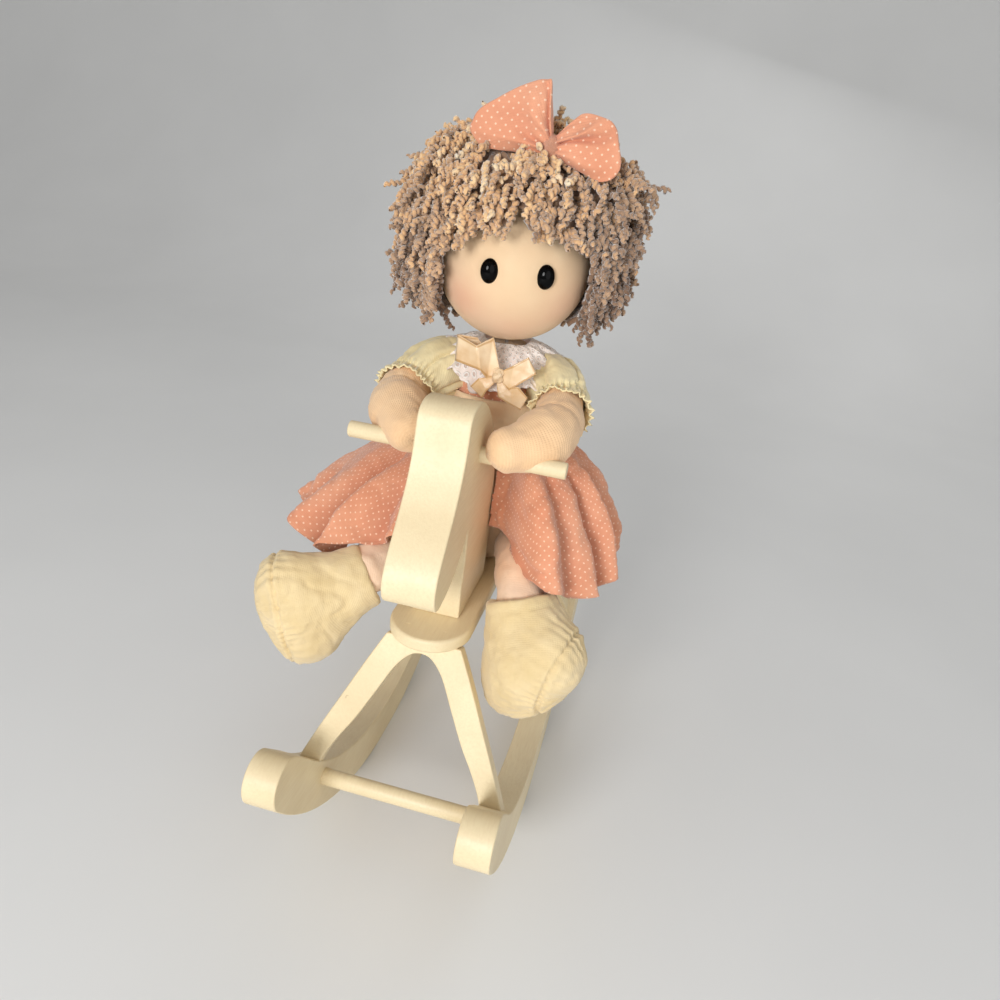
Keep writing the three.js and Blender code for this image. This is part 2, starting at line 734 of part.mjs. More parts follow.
function sleeveSolid(side, grow = 0) {
  const from = side < 0 ? leftShoulder : rightShoulder;
  const to = side < 0 ? leftHand : rightHand;
  const path = route(from, to, side < 0 ? LEFT_ARM_SHARES : RIGHT_ARM_SHARES, side);
  const curve = new THREE.CatmullRomCurve3(path);
  const { steps, sides } = SLEEVE;
  const [first, last] = SLEEVE_ENDS_SHARES;
  const rings = [];
  for (let i = 0; i <= steps; i++) {
    const t = i / steps;
    const at = THREE.MathUtils.lerp(first, last, t);
    const drawnIn = (steps - 1) / steps;
    const puff = Math.sqrt(Math.sin(Math.PI * Math.min(1, t / drawnIn)));
    const flare = i === steps ? 1 : 0;
    const base = THREE.MathUtils.lerp(ARM.shoulderRadius, SLEEVE.cuff + CLOTH.ease, t);
    const middle = curve.getPointAt(at);
    const along = curve.getTangentAt(at);
    const out = new THREE.Vector3().crossVectors(along, Z).normalize();
    const up = new THREE.Vector3().crossVectors(out, along).normalize();
    rings.push(
      Array.from({ length: sides }, (_, j) => {
        const angle = (2 * Math.PI * j) / sides;
        const wave = SLEEVE.ruffleDepth * Math.cos(SLEEVE.ruffles * angle) * Math.max(puff / 2, flare);
        const radius = base + (SLEEVE.radius - base) * puff + SLEEVE.flare * flare + wave + grow;
        const a = out.clone().multiplyScalar(radius * Math.cos(angle));
        return middle.clone().add(a).add(up.clone().multiplyScalar(radius * Math.sin(angle)));
      }),
    );
  }
  return skinOver(rings);
}

function ankle(side) {
  const at = side < 0 ? LEFT_ANKLE : RIGHT_ANKLE;
  return place(at.x, at.y, SEAT.top + at.rise);
}

function hip(side) {
  return place(DOLL.x + side * THIGH.hipOut, DOLL.y, seatAt + THIGH.hipUp);
}

function legSolid(side, grow = 0) {
  const path = route(hip(side), ankle(side), THIGH_SHARES, side);
  return limb(path, [THIGH.radius, THIGH.radius, THIGH.ankleRadius], { grow, steps: 4 });
}

function bootSolid(side, grow = 0) {
  const aim = (from, [out, forward, up], length) =>
    from.clone().add(place(side * out * length, -forward * length, up * length));
  const shaftShares = side < 0 ? LEFT_SHAFT_SHARES : RIGHT_SHAFT_SHARES;
  const sole = aim(ankle(side), shaftShares, BOOT.shaftLength);
  const shaft = limb([ankle(side), sole], [BOOT.shaftRadius, BOOT.footRadius], {
    grow,
    steps: 2,
    dome: DOME_SHARES.shaft,
  });
  const toe = aim(sole, side < 0 ? LEFT_TOE_SHARES : RIGHT_TOE_SHARES, BOOT.length);
  const heel = aim(sole, side < 0 ? LEFT_HEEL_SHARES : RIGHT_HEEL_SHARES, BOOT.length);
  const foot = limb([heel, sole, toe], [BOOT.heelRadius, BOOT.footRadius, BOOT.toeRadius], {
    grow,
    sides: 14,
    steps: 4,
    dome: DOME_SHARES.foot,
  });
  return unite(shaft, foot);
}

function skirtSolid() {
  const centre = place(DOLL.x, DOLL.y, SEAT.top);
  return drape(SKIRT.columns, SKIRT.rows, CLOTH.thickness, (angle, share, offset) => {
    const out = Math.cos(angle);
    const ahead = Math.sin(angle);
    const waistX = (TORSO.width / 2) * SKIRT_WAIST_SHARE;
    const waistY = (TORSO.depth / 2) * SKIRT_WAIST_SHARE;
    const reachX = out < 0 ? SKIRT.left : SKIRT.right;
    const reachY = ahead < 0 ? SKIRT.front : SKIRT.back;
    const hemLow = ahead < 0 ? SKIRT.frontHem : SKIRT.backHem;
    const diagonal = (2 * out * ahead) ** 2;
    const across = 1 + (ahead < 0 ? SKIRT_CORNER_SHARES.across : SKIRT_CORNER_SHARES.back) * diagonal;
    const along = 1 + (ahead < 0 ? SKIRT_CORNER_SHARES.ahead : SKIRT_CORNER_SHARES.back) * diagonal;
    const hemZ = SKIRT.sideHem * out * out + hemLow * ahead * ahead;
    const fold = Math.cos(SKIRT.folds * angle) * SKIRT.foldDepth * share;
    const spread = share ** SKIRT_SPREAD_SHARE;
    const x = (waistX + (reachX * across - waistX) * spread + fold) * out;
    const y = (waistY + (reachY * along - waistY) * spread + fold) * ahead;
    const fall = THREE.MathUtils.lerp(share, share ** 3, SKIRT_HANG_SHARE);
    const z = SKIRT.waist + (hemZ - SKIRT.waist) * fall + fold / 2 + offset;
    return place(x, y, z).add(centre);
  });
}

function collarSolid(grow = 0) {
  const centre = place(DOLL.x, DOLL.y, seatAt - grow);
  return drape(COLLAR.columns, COLLAR.rows, CLOTH.thickness + 2 * grow, (angle, share, offset) => {
    const out = Math.cos(angle);
    const ahead = Math.sin(angle);
    const ripple = COLLAR.rippleDepth * Math.cos(COLLAR.ripples * angle) * share;
    const x = (COLLAR.neck + (COLLAR.side - COLLAR.neck) * share) * out;
    const y = (COLLAR.neck + (COLLAR.front - COLLAR.neck) * share) * ahead;
    const hem = COLLAR.hem - (ahead < 0 ? COLLAR.drop * ahead * ahead : 0);
    const z = COLLAR.top + (hem - COLLAR.top) * share ** COLLAR_HANG_SHARE + ripple + offset;
    return place(x, y, z).add(centre);
  });
}

function headSolid(grow = 0) {
  const r = HEAD.radius + grow;
  return ellipsoid(headCentre, r, r, r, HEAD.columns, HEAD.rows);
}

// A point on the face, given in the head's own frame and turned with it.
function faceFrame(made) {
  return turned(made, HEAD.turn, Z, headCentre);
}

function eyeSolid(side, grow = 0) {
  const x = (side * EYE.spacing) / 2;
  const depth = Math.sqrt(HEAD.radius ** 2 - x ** 2);
  const at = headCentre.clone().add(place(x, -depth, 0));
  const dome = ellipsoid(at, EYE.width / 2 + grow, EYE.bulge + grow, EYE.height / 2 + grow, 12, 6);
  const back = at.clone().add(place(0, EYE.postLength + grow, 0));
  return faceFrame(unite(dome, bar(at, back, EYE.postRadius + grow, 10)));
}

function washerSolid(side, grow = 0) {
  const x = (side * EYE.spacing) / 2;
  const depth = Math.sqrt(HEAD.radius ** 2 - x ** 2) - EYE.washerDepth;
  const from = headCentre.clone().add(place(x, -depth - grow, 0));
  const to = from.clone().add(place(0, EYE.washerThickness + 2 * grow, 0));
  const disc = bar(from, to, EYE.washerRadius + grow, 12);
  return faceFrame(disc);
}

// One loop of the hair bow, which opens out from the knot.
function bowLoop(tilt, length, width, thickness, grow) {
  const rings = LOOP_SHARES.map(([along, wide, thick]) => {
    const x = length * along + (along === 1 ? grow : 0);
    const half = (width / 2) * wide + grow;
    const deep = (thickness / 2) * thick + grow;
    return circle(1, 12).map(([u, v]) => place(x, deep * v, half * u));
  });
  const lobe = skinOver(rings).transform(new THREE.Matrix4().makeRotationY(-degrees(tilt)).elements);
  return lobe.transform(new THREE.Matrix4().makeTranslation(bowKnot.x, bowKnot.y, bowKnot.z).elements);
}

const bowKnot = headCentre.clone().add(place(...BOW_KNOT_SHARES).multiplyScalar(HEAD.radius));

function hairBow(grow = 0) {
  const { leftLoop, leftWidth, leftTilt, rightLoop, rightWidth, rightTilt, thickness, knot } = HAIR_BOW;
  const left = bowLoop(180 - leftTilt, leftLoop, leftWidth, thickness, grow);
  const right = bowLoop(rightTilt, rightLoop, rightWidth, thickness, grow);
  const r = knot + grow;
  return unite(left, right, ellipsoid(bowKnot, r * KNOT_SHARES.hairWidth, r, r, 10, 6));
}

function hairSolid() {
  const centre = headCentre.clone().add(place(0, 0, HAIR.rise));
  const { round, up } = HAIR_WAVE_SHARES;
  const ripple = (p) => HAIR.ripple * Math.sin(round * Math.atan2(p.y, p.x)) * Math.cos(up * p.z);
  const { width, depth, height, columns, rows } = HAIR;
  const outer = ellipsoid(centre, width / 2, depth / 2, height / 2, columns, rows, ripple);
  const r = HEAD.radius;
  const arch = circle(r + OVERRUN, 20).map(([x, z]) => [headCentre.x + x, headCentre.z + HAIR.fringe - r + z]);
  const face = faceFrame(alongY(arch, headCentre.y - depth, headCentre.y - HAIR.faceDepth));
  const half = r * CHIN_ROOM_SHARES.half;
  const under = box(
    headCentre.x - half,
    headCentre.x + half,
    headCentre.y - depth,
    headCentre.y + half,
    headCentre.z - height,
    headCentre.z + r * CHIN_ROOM_SHARES.top,
  );
  return biggest(less(outer, headSolid(GAP), face, under, hairBow(GAP)));
}

// The satin bow on the collar

const collarKnot = place(
  DOLL.x + COLLAR.front * Math.sin(degrees(DOLL.turn)),
  DOLL.y - COLLAR.front * Math.cos(degrees(DOLL.turn)),
  seatAt + COLLAR.hem,
);

function collarBow() {
  const { loop, loopWidth, thickness, knot, tail, tailWidth, tailTilt } = COLLAR_BOW;
  const lobe = (side) => {
    const centre = collarKnot.clone().add(place((side * loop) / 2, 0, loopWidth / 4));
    return ellipsoid(centre, loop / 2 + knot / 2, thickness / 2, loopWidth / 2, 12, 6);
  };
  const strip = (side) =>
    turned(
      box(
        collarKnot.x - tailWidth / 2,
        collarKnot.x + tailWidth / 2,
        collarKnot.y - thickness / 4,
        collarKnot.y + thickness / 4,
        collarKnot.z - tail,
        collarKnot.z,
      ),
      -side * tailTilt,
      new THREE.Vector3(0, 1, 0),
      collarKnot,
    );
  const middle = ellipsoid(collarKnot, knot, knot * KNOT_SHARES.collarDepth, knot, 8, 6);
  return unite(lobe(-1), lobe(1), strip(-1), strip(1), middle);
}

// The music movement, built about its own middle inside the torso

const core = place(DOLL.x, DOLL.y, seatAt + MOVEMENT.middle);
const spindle = place(core.x, core.y - CYLINDER.forward, core.z);
const plateFront = core.y + MOVEMENT.depth / 2 - PLATE.setIn - PLATE.thickness;
const pinionRadius = (CROWN.radius * PINION.teeth) / CROWN.teeth;
const crownFace = spindle.y + pinionRadius + PINION.addendum - CROWN.engagement;
const arborZ = core.z + BARREL.rise;
const trainRadius = (TRAIN.teeth * TRAIN.module) / 2;
const wheelX = spindle.x - 2 * trainRadius - TRAIN.backlash;
const drumTop = core.z + CYLINDER.top;
const drumBottom = drumTop - CYLINDER.length;
const trainTop = drumBottom - GAP;
const wormX = wheelX - WORM.wheelRadius - WORM.radius - GAP;
const wormZ = (drumTop + drumBottom) / 2;

// The outline of a toothed wheel. A tooth's middle lies at the given angle.
function toothed(teeth, root, tip, phase) {
  const pitch = (2 * Math.PI) / teeth;
  const corner = (radius, angle) => [radius * Math.cos(angle), radius * Math.sin(angle)];
  return Array.from({ length: teeth }, (_, i) => phase + pitch * i).flatMap((middle) => [
    corner(root, middle - pitch * TOOTH_SHARES.root),
    corner(tip, middle - pitch * TOOTH_SHARES.tip),
    corner(tip, middle + pitch * TOOTH_SHARES.tip),
    corner(root, middle + pitch * TOOTH_SHARES.root),
  ]);
}

// An outline about the arbor, drawn out along Y.
function acrossArbor(outline, y0, y1) {
  return alongY(
    outline.map(([x, z]) => [core.x + x, arborZ + z]),
    y0,
    y1,
  );
}

// Round about a point, along Z.
function upright(x, y, z0, z1, radius, sides) {
  return bar(place(x, y, z0), place(x, y, z1), radius, sides);
}

// Round about a point, along Y.
function level(x, z, y0, y1, radius, sides) {
  return bar(place(x, y0, z), place(x, y1, z), radius, sides);
}

function wheelAt(outline, x, z0, z1) {
  return column(
    outline.map(([u, v]) => [x + u, spindle.y + v]),
    z0,
    z1,
  );
}

const halfW = MOVEMENT.width / 2;
const halfD = MOVEMENT.depth / 2;
const halfH = MOVEMENT.height / 2;
const bossX = core.x + halfW - COVER.wall - GAP - PLATE.bossWidth;
const bossY = spindle.y + COMB.thickness / 2 + GAP;
const combScrewX = bossX + PLATE.bossWidth / 2;
const combScrewZs = COMB_SCREW_SHARES.map((share) => drumBottom + CYLINDER.length * share);
const tooth = CYLINDER.length / COMB.teeth;
const footZ = trainTop - TRAIN.thickness - 2 * GAP;
const coverTop = core.z + halfH;
const coverFoot = core.z - halfH;

function combScrew(z, grow = 0) {
  const seatY = spindle.y - COMB.thickness / 2 - GAP;
  const head = level(combScrewX, z, seatY - COMB.screwHead, seatY, 2 * COMB.screw + grow, SCREW.sides);
  const end = bossY + COMB.screwReach + grow;
  const shank = level(combScrewX, z, seatY - GAP, end, COMB.screw + grow, SCREW.sides);
  return unite(head, shank);
}

function arborRoom(y0, y1, clearance = GAP) {
  return level(core.x, arborZ, y0, y1, ARBOR.radius + clearance, ARBOR.sides);
}

function fanRoom(y0, y1) {
  return level(wormX, wormZ, y0, y1, WORM.rod + GAP, ARBOR.sides);
}

function buildPlate() {
  const inset = COVER.wall + GAP;
  const back = plateFront + PLATE.thickness;
  const plate = box(
    core.x - halfW + inset,
    core.x + halfW - inset,
    plateFront,
    back,
    coverFoot + inset,
    coverTop - inset,
  );
  const bossBack = plateFront + PLATE.thickness / 2;
  const boss = box(bossX, bossX + PLATE.bossWidth, bossY, bossBack, drumBottom, drumTop);
  const holes = combScrewZs.map((z) => combScrew(z, GAP));
  const cuts = [arborRoom(plateFront - OVERRUN, back + OVERRUN), fanRoom(plateFront - GAP, back + OVERRUN)];
  add("movement_plate", less(unite(plate, boss), ...cuts, ...holes), steel);
  combScrewZs.forEach((z, i) => add("comb_screw_" + (i + 1), combScrew(z), steel));
}

function buildComb() {
  const tip = spindle.x + CYLINDER.radius + COMB.clearance;
  const half = COMB.thickness / 2;
  const root = bossX + PLATE.bossWidth;
  const blank = box(tip, root, spindle.y - half, spindle.y + half, drumBottom, drumTop);
  const slots = [];
  for (let i = 1; i < COMB.teeth; i++) {
    const z = drumBottom + tooth * i;
    const wide = COMB.slot / 2;
    slots.push(box(tip - OVERRUN, bossX - GAP, spindle.y - OVERRUN, spindle.y + OVERRUN, z - wide, z + wide));
  }
  add("comb", less(blank, ...slots, ...combScrewZs.map((z) => combScrew(z, GAP))), steel);
}

function buildCover() {
  const wall = COVER.wall;
  const rim = plateFront + PLATE.thickness;
  const shell = box(core.x - halfW, core.x + halfW, core.y - halfD, rim, coverFoot, coverTop);
  const room = box(
    core.x - halfW + wall,
    core.x + halfW - wall,
    core.y - halfD + wall,
    rim + OVERRUN,
    coverFoot + wall,
    coverTop - wall,
  );
  const back = spindle.y + COVER.bearing / 2;
  const bearing = (x, z0, z1) =>
    box(x - COVER.bearing / 2, x + COVER.bearing / 2, core.y - halfD + wall / 2, back, z0, z1);
  const lower = bearing(spindle.x, footZ - COVER.bearing, footZ);
  const wheelLower = bearing(wheelX, footZ - COVER.bearing, footZ);
  const holes = [
    upright(spindle.x, spindle.y, footZ - COVER.bearing / 2, coverTop + OVERRUN, CYLINDER.spindle + GAP, 12),
    upright(wheelX, spindle.y, footZ - COVER.bearing / 2, footZ + OVERRUN, WORM.rod + GAP, 10),
    upright(wheelX, spindle.y, coverTop - wall - OVERRUN, coverTop + OVERRUN, WORM.rod + GAP, 10),
    fanRoom(core.y - halfD - OVERRUN, core.y - halfD + wall + OVERRUN),
  ];
  add("movement_cover", less(unite(less(shell, room), lower, wheelLower), ...holes), plastic);
}

function buildCylinder() {
  const drum = upright(spindle.x, spindle.y, drumBottom, drumTop, CYLINDER.radius, CYLINDER.sides);
  const teeth = toothed(
    PINION.teeth,
    pinionRadius - PINION.dedendum,
    pinionRadius + PINION.addendum,
    Math.PI / 2,
  );
  const pinion = wheelAt(teeth, spindle.x, drumTop - GAP, drumTop + PINION.length);
  const pins = Array.from({ length: COMB.teeth }, (_, i) => {
    const angle = degrees(PIN_TURN * (i + 0.5));
    const out = place(Math.cos(angle), Math.sin(angle), 0);
    const middle = place(spindle.x, spindle.y, drumBottom + tooth * (i + 0.5));
    const from = middle.clone().addScaledVector(out, CYLINDER.radius - COMB.slot);
    const to = middle.clone().addScaledVector(out, CYLINDER.radius + COMB.clearance / 2);
    return bar(from, to, COMB.slot / 2, 4);
  });
  const foot = upright(
    spindle.x,
    spindle.y,
    footZ - COVER.bearing / 2 + GAP,
    drumBottom + GAP,
    CYLINDER.spindle,
    12,
  );
  const gripFoot = drumTop - CYLINDER.grip;
  const shaftRoom = upright(spindle.x, spindle.y, gripFoot, coverTop, CYLINDER.spindle + GAP, 12);
  const gear = wheelAt(
    toothed(TRAIN.teeth, trainRadius - TRAIN.dedendum, trainRadius + TRAIN.addendum, Math.PI),
    spindle.x,
    trainTop - TRAIN.thickness,
    trainTop,
  );
  const hub = upright(spindle.x, spindle.y, trainTop - GAP, drumBottom, trainRadius / 2, 12);
  add("cylinder", less(unite(drum, pinion, foot, ...pins), shaftRoom), brass);
  const footRoom = upright(spindle.x, spindle.y, footZ - OVERRUN, drumBottom, CYLINDER.spindle + GAP, 12);
  const hubTop = unite(gear, hub).intersect(
    upright(spindle.x, spindle.y, footZ, drumBottom - GAP / 2, 2 * trainRadius, 12),
  );
  add("cylinder_gear", less(hubTop, footRoom), brass);
}

const wirePivot = place(spindle.x, spindle.y, headCentre.z - HEAD.radius - GAP);
const wireTilt = degrees(SWAY.tilt);
const wireTip = wirePivot
  .clone()
  .add(place(0, SWAY.tipLength * Math.sin(wireTilt), SWAY.tipLength * Math.cos(wireTilt)));

function buildWire() {
  const stem = upright(
    spindle.x,
    spindle.y,
    drumTop - CYLINDER.grip + GAP,
    wirePivot.z,
    CYLINDER.spindle,
    12,
  );
  const elbow = ellipsoid(wirePivot, SWAY.wireRadius, SWAY.wireRadius, SWAY.wireRadius, 12, 8);
  add("neck_wire", unite(stem, elbow, bar(wirePivot, wireTip, CYLINDER.spindle, 12)), steel);
}

// The second arbor, whose lower wheel turns the worm on the fan's rod.
function buildGovernor() {
  const teeth = toothed(
    TRAIN.teeth,
    trainRadius - TRAIN.dedendum,
    trainRadius + TRAIN.addendum,
    Math.PI / TRAIN.teeth,
  );
  const low = wheelAt(teeth, wheelX, trainTop - TRAIN.thickness, trainTop);
  const rim = wheelAt(
    toothed(WORM.wheelTeeth, WORM.wheelRadius - TRAIN.dedendum, WORM.wheelRadius, Math.PI),
    wheelX,
    wormZ - TRAIN.thickness / 2,
    wormZ + TRAIN.thickness / 2,
  );
  const rod = upright(
    wheelX,
    spindle.y,
    footZ - COVER.bearing / 2 + GAP,
    coverTop - COVER.wall / 2,
    WORM.rod,
    10,
  );
  add("worm_wheel", unite(low, rim, rod), brass);
  const fanRod = level(wormX, wormZ, core.y - halfD + GAP, plateFront + PLATE.thickness / 2, WORM.rod, 10);
  const worm = level(
    wormX,
    wormZ,
    spindle.y - WORM.length / 2,
    spindle.y + WORM.length / 2,
    WORM.radius,
    12,
  );
  const fanY = spindle.y + WORM.wheelRadius + GAP;
  const fan = box(
    wormX - WORM.fanWidth / 2,
    wormX + WORM.fanWidth / 2,
    fanY,
    fanY + WORM.fanLength,
    wormZ - WORM.rod / 2,
    wormZ + WORM.rod / 2,
  );
  add("governor_fan", unite(fanRod, worm, fan), brass);
}

function buildBarrel() {
  const front = crownFace + CROWN.depth;
  const back = front + BARREL.length;
  const teeth = toothed(
    CROWN.teeth,
    CROWN.radius - CROWN.reach,
    CROWN.radius + CROWN.reach,
    -Math.PI / 2 + Math.PI / CROWN.teeth,
  );
  const crown = acrossArbor(teeth, crownFace, front + GAP);
  const body = acrossArbor(circle(BARREL.radius, BARREL.sides), front, back);
  const hollow = acrossArbor(
    circle(BARREL.radius - BARREL.wall, BARREL.sides),
    front + BARREL.wall,
    back + OVERRUN,
  );
  add("spring_barrel", less(unite(crown, body), hollow, arborRoom(crownFace - OVERRUN, back)), brass);
  const steps = SPRING.turns * SPRING.stepsPerTurn;
  const spiral = (i, extra) => {
    const angle = (2 * Math.PI * i) / SPRING.stepsPerTurn;
    const radius = SPRING.inner + (SPRING.pitch * i) / SPRING.stepsPerTurn + extra;
    return [radius * Math.cos(angle), radius * Math.sin(angle)];
  };
  const strip = Array.from({ length: steps + 1 }, (_, i) => spiral(i, SPRING.strip));
  const inside = Array.from({ length: steps + 1 }, (_, i) => spiral(steps - i, 0));
  const springY = front + BARREL.wall + GAP;
  add("mainspring", acrossArbor([...strip, ...inside], springY, springY + SPRING.width), steel);
}

function buildKey() {
  const face = core.y + TORSO.depth / 2 + KEY.standOff;
  const arborEnd = face + KEY.stemLength / 2;
  add("winding_arbor", level(core.x, arborZ, crownFace + GAP, arborEnd, ARBOR.radius, ARBOR.sides), steel);
  const tip = face + KEY.stemLength;
  const stem = level(core.x, arborZ, face, tip, KEY.stemRadius, ARBOR.sides);
  const wing = (side) => {
    const middle = place(core.x + (side * KEY.wingWidth) / 4, tip, arborZ);
    return ellipsoid(middle, KEY.wingWidth / 4 + GAP, KEY.wingHeight / 2, KEY.thickness / 2, 14, 6);
  };
  const bridge = level(core.x, arborZ, tip - KEY.stemRadius, tip + KEY.stemRadius / 2, KEY.thickness, 12);
  const socket = arborRoom(face - OVERRUN, arborEnd + GAP);
  add("winding_key", less(unite(stem, bridge, wing(-1), wing(1)), socket), steel);
}

function socketRoom() {
  const foot = wirePivot.z + SWAY.wireRadius + GAP;
  const cone = bar(
    place(spindle.x, spindle.y, foot - GAP),
    place(spindle.x, spindle.y, foot + SWAY.socketHeight + GAP),
    SWAY.socketRadius + GAP,
    20,
    SWAY.socketTop + GAP,
  );
  const bore = upright(spindle.x, spindle.y, wirePivot.z - HEAD.radius, foot, SWAY.socketRadius + GAP, 20);
  return unite(cone, bore);
}

function buildSocket() {
  const foot = wirePivot.z + SWAY.wireRadius + GAP;
  const plug = bar(
    place(spindle.x, spindle.y, foot),
    place(spindle.x, spindle.y, foot + SWAY.socketHeight),
    SWAY.socketRadius,
    20,
    SWAY.socketTop,
  );
  const past = wireTip.clone().addScaledVector(wireTip.clone().sub(wirePivot).normalize(), GAP);
  add("head_socket", less(plug, bar(wirePivot, past, CYLINDER.spindle + GAP, 12)), beech);
}

function buildMovement() {
  buildPlate();
  buildComb();
  buildCover();
  buildCylinder();
  buildWire();
  buildGovernor();
  buildBarrel();
  buildKey();
  buildSocket();
}

function buildDoll() {
  buildMovement();
  const eyes = [-1, 1].map((side) => eyeSolid(side, GAP));
  const washers = [-1, 1].map((side) => washerSolid(side, GAP));
  add("head", less(headSolid(), socketRoom(), ...eyes, ...washers), skin);
  for (const side of [-1, 1]) {
    const name = side < 0 ? "left" : "right";
    add("eye_" + name, eyeSolid(side), black);
    add("eye_washer_" + name, less(washerSolid(side), eyeSolid(side, GAP)), plastic);
  }
  add("hair", hairSolid(), yarn);
  add("hair_bow", hairBow(), salmon);

  const room = MOVEMENT.clearance;
  const cavity = box(
    core.x - MOVEMENT.width / 2 - room,
    core.x + MOVEMENT.width / 2 + room,
    core.y - MOVEMENT.depth / 2 - room,
    core.y + MOVEMENT.depth / 2 + room,
    core.z - MOVEMENT.height / 2 - room,
    core.z + MOVEMENT.height / 2 + room,
  );
  const keyRoom = arborRoom(core.y, core.y + TORSO.depth, room);
  const wireRoom = upright(spindle.x, spindle.y, core.z, neckTop.z + OVERRUN, CYLINDER.spindle + room, 12);
  add("torso", less(torsoSolid(), cavity, keyRoom, wireRoom), skin);
  const inner = GAP;
  const outer = GAP + CLOTH.thickness;
  const arms = [-1, 1].map((side) => sleeveSolid(side, GAP));
  const bareArms = [-1, 1].map((side) => armSolid(side, GAP));
  const bodice = less(torsoBand(BODICE.bottom, BODICE.top, inner, outer), ...arms, ...bareArms, keyRoom);
  add("bodice", biggest(bodice), salmon);
  const sash = torsoBand(SASH.bottom, SASH.top, outer + GAP, outer + GAP + SASH.thickness);
  add("waist_sash", biggest(less(sash, ...arms, ...bareArms, horseRoom, keyRoom)), satin);
  const outfit = torsoSolid(outer + GAP);
  for (const side of [-1, 1]) {
    const name = side < 0 ? "left" : "right";
    const own = less(armSolid(side), torsoSolid(GAP), handlebar(GAP), horseRoom);
    add("arm_" + name, biggest(own), skin);
    const sleeve = less(sleeveSolid(side), armSolid(side, GAP), outfit);
    add("sleeve_" + name, biggest(sleeve), muslin);
    const thigh = less(legSolid(side), torsoSolid(GAP), bootSolid(side, GAP), horseRoom);
    const seatRoom = column(seatOutline(GAP), SEAT.top - SEAT.thickness - GAP, SEAT.top + GAP);
    add("leg_" + name, biggest(less(thigh, seatRoom)), sock);
    add("boot_" + name, biggest(less(bootSolid(side), horseRoom, seatRoom)), muslin);
  }
  const skirtCuts = [-1, 1].flatMap((side) => [legSolid(side, GAP), bootSolid(side, GAP), armSolid(side, GAP)]);
  const sashRoom = torsoSolid(GAP);
  const skirt = less(skirtSolid(), sashRoom, horseRoom, handlebar(GAP), ...skirtCuts);
  add("skirt", biggest(skirt), salmon);
  const collar = less(collarSolid(), outfit, headSolid(GAP), ...arms, ...bareArms);
  add("lace_collar", biggest(collar), lace);
  add("collar_bow", biggest(less(collarBow(), collarSolid(2 * GAP), outfit, ...arms, ...bareArms)), satin);
}

buildFrame();
buildDoll();

// The origin lies at the middle of the base.
const bounds = new THREE.Box3().setFromObject(group);
const middle = bounds.getCenter(place(0, 0, 0));
group.position.set(-middle.x, -middle.y, -bounds.min.z);

export default group;
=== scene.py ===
import json
import random
from contextlib import contextmanager
from math import asin, cos, degrees, exp, hypot, pi, radians, sin, sqrt, tau

import bmesh
import bpy
import numpy as np
from mathutils import Matrix, Vector, noise


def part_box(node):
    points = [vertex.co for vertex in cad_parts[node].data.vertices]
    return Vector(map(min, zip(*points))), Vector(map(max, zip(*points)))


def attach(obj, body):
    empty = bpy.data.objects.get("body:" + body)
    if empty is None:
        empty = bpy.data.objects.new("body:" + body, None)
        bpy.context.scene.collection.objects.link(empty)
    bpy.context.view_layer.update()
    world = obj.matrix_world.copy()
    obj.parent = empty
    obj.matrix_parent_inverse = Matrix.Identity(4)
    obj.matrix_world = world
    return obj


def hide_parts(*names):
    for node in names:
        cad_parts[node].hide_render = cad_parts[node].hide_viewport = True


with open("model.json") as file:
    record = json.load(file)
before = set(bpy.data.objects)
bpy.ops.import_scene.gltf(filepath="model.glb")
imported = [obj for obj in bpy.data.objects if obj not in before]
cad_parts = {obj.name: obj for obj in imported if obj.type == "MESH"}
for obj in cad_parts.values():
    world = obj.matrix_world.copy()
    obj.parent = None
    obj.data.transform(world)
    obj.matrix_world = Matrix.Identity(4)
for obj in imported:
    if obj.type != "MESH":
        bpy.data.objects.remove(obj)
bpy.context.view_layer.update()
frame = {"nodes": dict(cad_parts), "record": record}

# Sizes in millimetres, from the middle of the seat board across and from the ground up

MM = 0.001
ROCKER = {
    "radius": 216, "flat": 34, "rise": 26, "top_radius": 177,
    "nose_radius": 14.5, "nose_angle": 51.8, "top_angle": 50, "steps": 22,
}
SEAT = {"top": 158, "width": 48, "thickness": 8, "half_length": 100}
LEG = {
    "thickness": 9, "slope": 18.8, "set_in": 14, "top_half": 22,
    "foot_out": 65, "foot_in": 51, "length": 96, "trim": 65,
}
CROSSBAR = {"radius": 5, "reach": 112, "height": 54, "half": 54.5}
HORSE = {"thickness": 28.6, "height": 131, "length": 113, "front": -127}
HANDLEBAR = {"radius": 4.6, "half_length": 61.3, "y": -60.4, "height": 257}
# The play between boards that meet, and how far the seat's paint stands over its solid.
GAP = 0.3
PAINT = 0.25

# Outlines, as shares of a length and a height.
HORSE_OUTLINE_SHARES = [
    (0.985, 0.0), (1.0, 0.14), (0.992, 0.38), (0.958, 0.56), (0.878, 0.72), (0.775, 0.845),
    (0.672, 0.93), (0.575, 0.982), (0.485, 1.0), (0.4, 0.992), (0.345, 0.955), (0.325, 0.88),
    (0.305, 0.805), (0.265, 0.72), (0.205, 0.635), (0.125, 0.545), (0.05, 0.46), (0.012, 0.4),
    (0.0, 0.34), (0.022, 0.285), (0.075, 0.258), (0.16, 0.265), (0.255, 0.286), (0.345, 0.322),
    (0.43, 0.385), (0.492, 0.44),
]
HORSE_SLOT_SHARES = [(0.5, 0.3), (0.478, 0.14), (0.487, 0.0)]
LEG_OUTER_SHARES = [(0.0, 0.0), (0.2, 0.18), (0.45, 0.42), (0.72, 0.68), (0.93, 0.9), (1.0, 1.0)]
LEG_INNER_SHARES = [
    (1.0, 1.0), (0.93, 0.86), (0.8, 0.72), (0.62, 0.56), (0.44, 0.37), (0.27, 0.19), (0.12, 0.1), (0.0, 0.08),
]

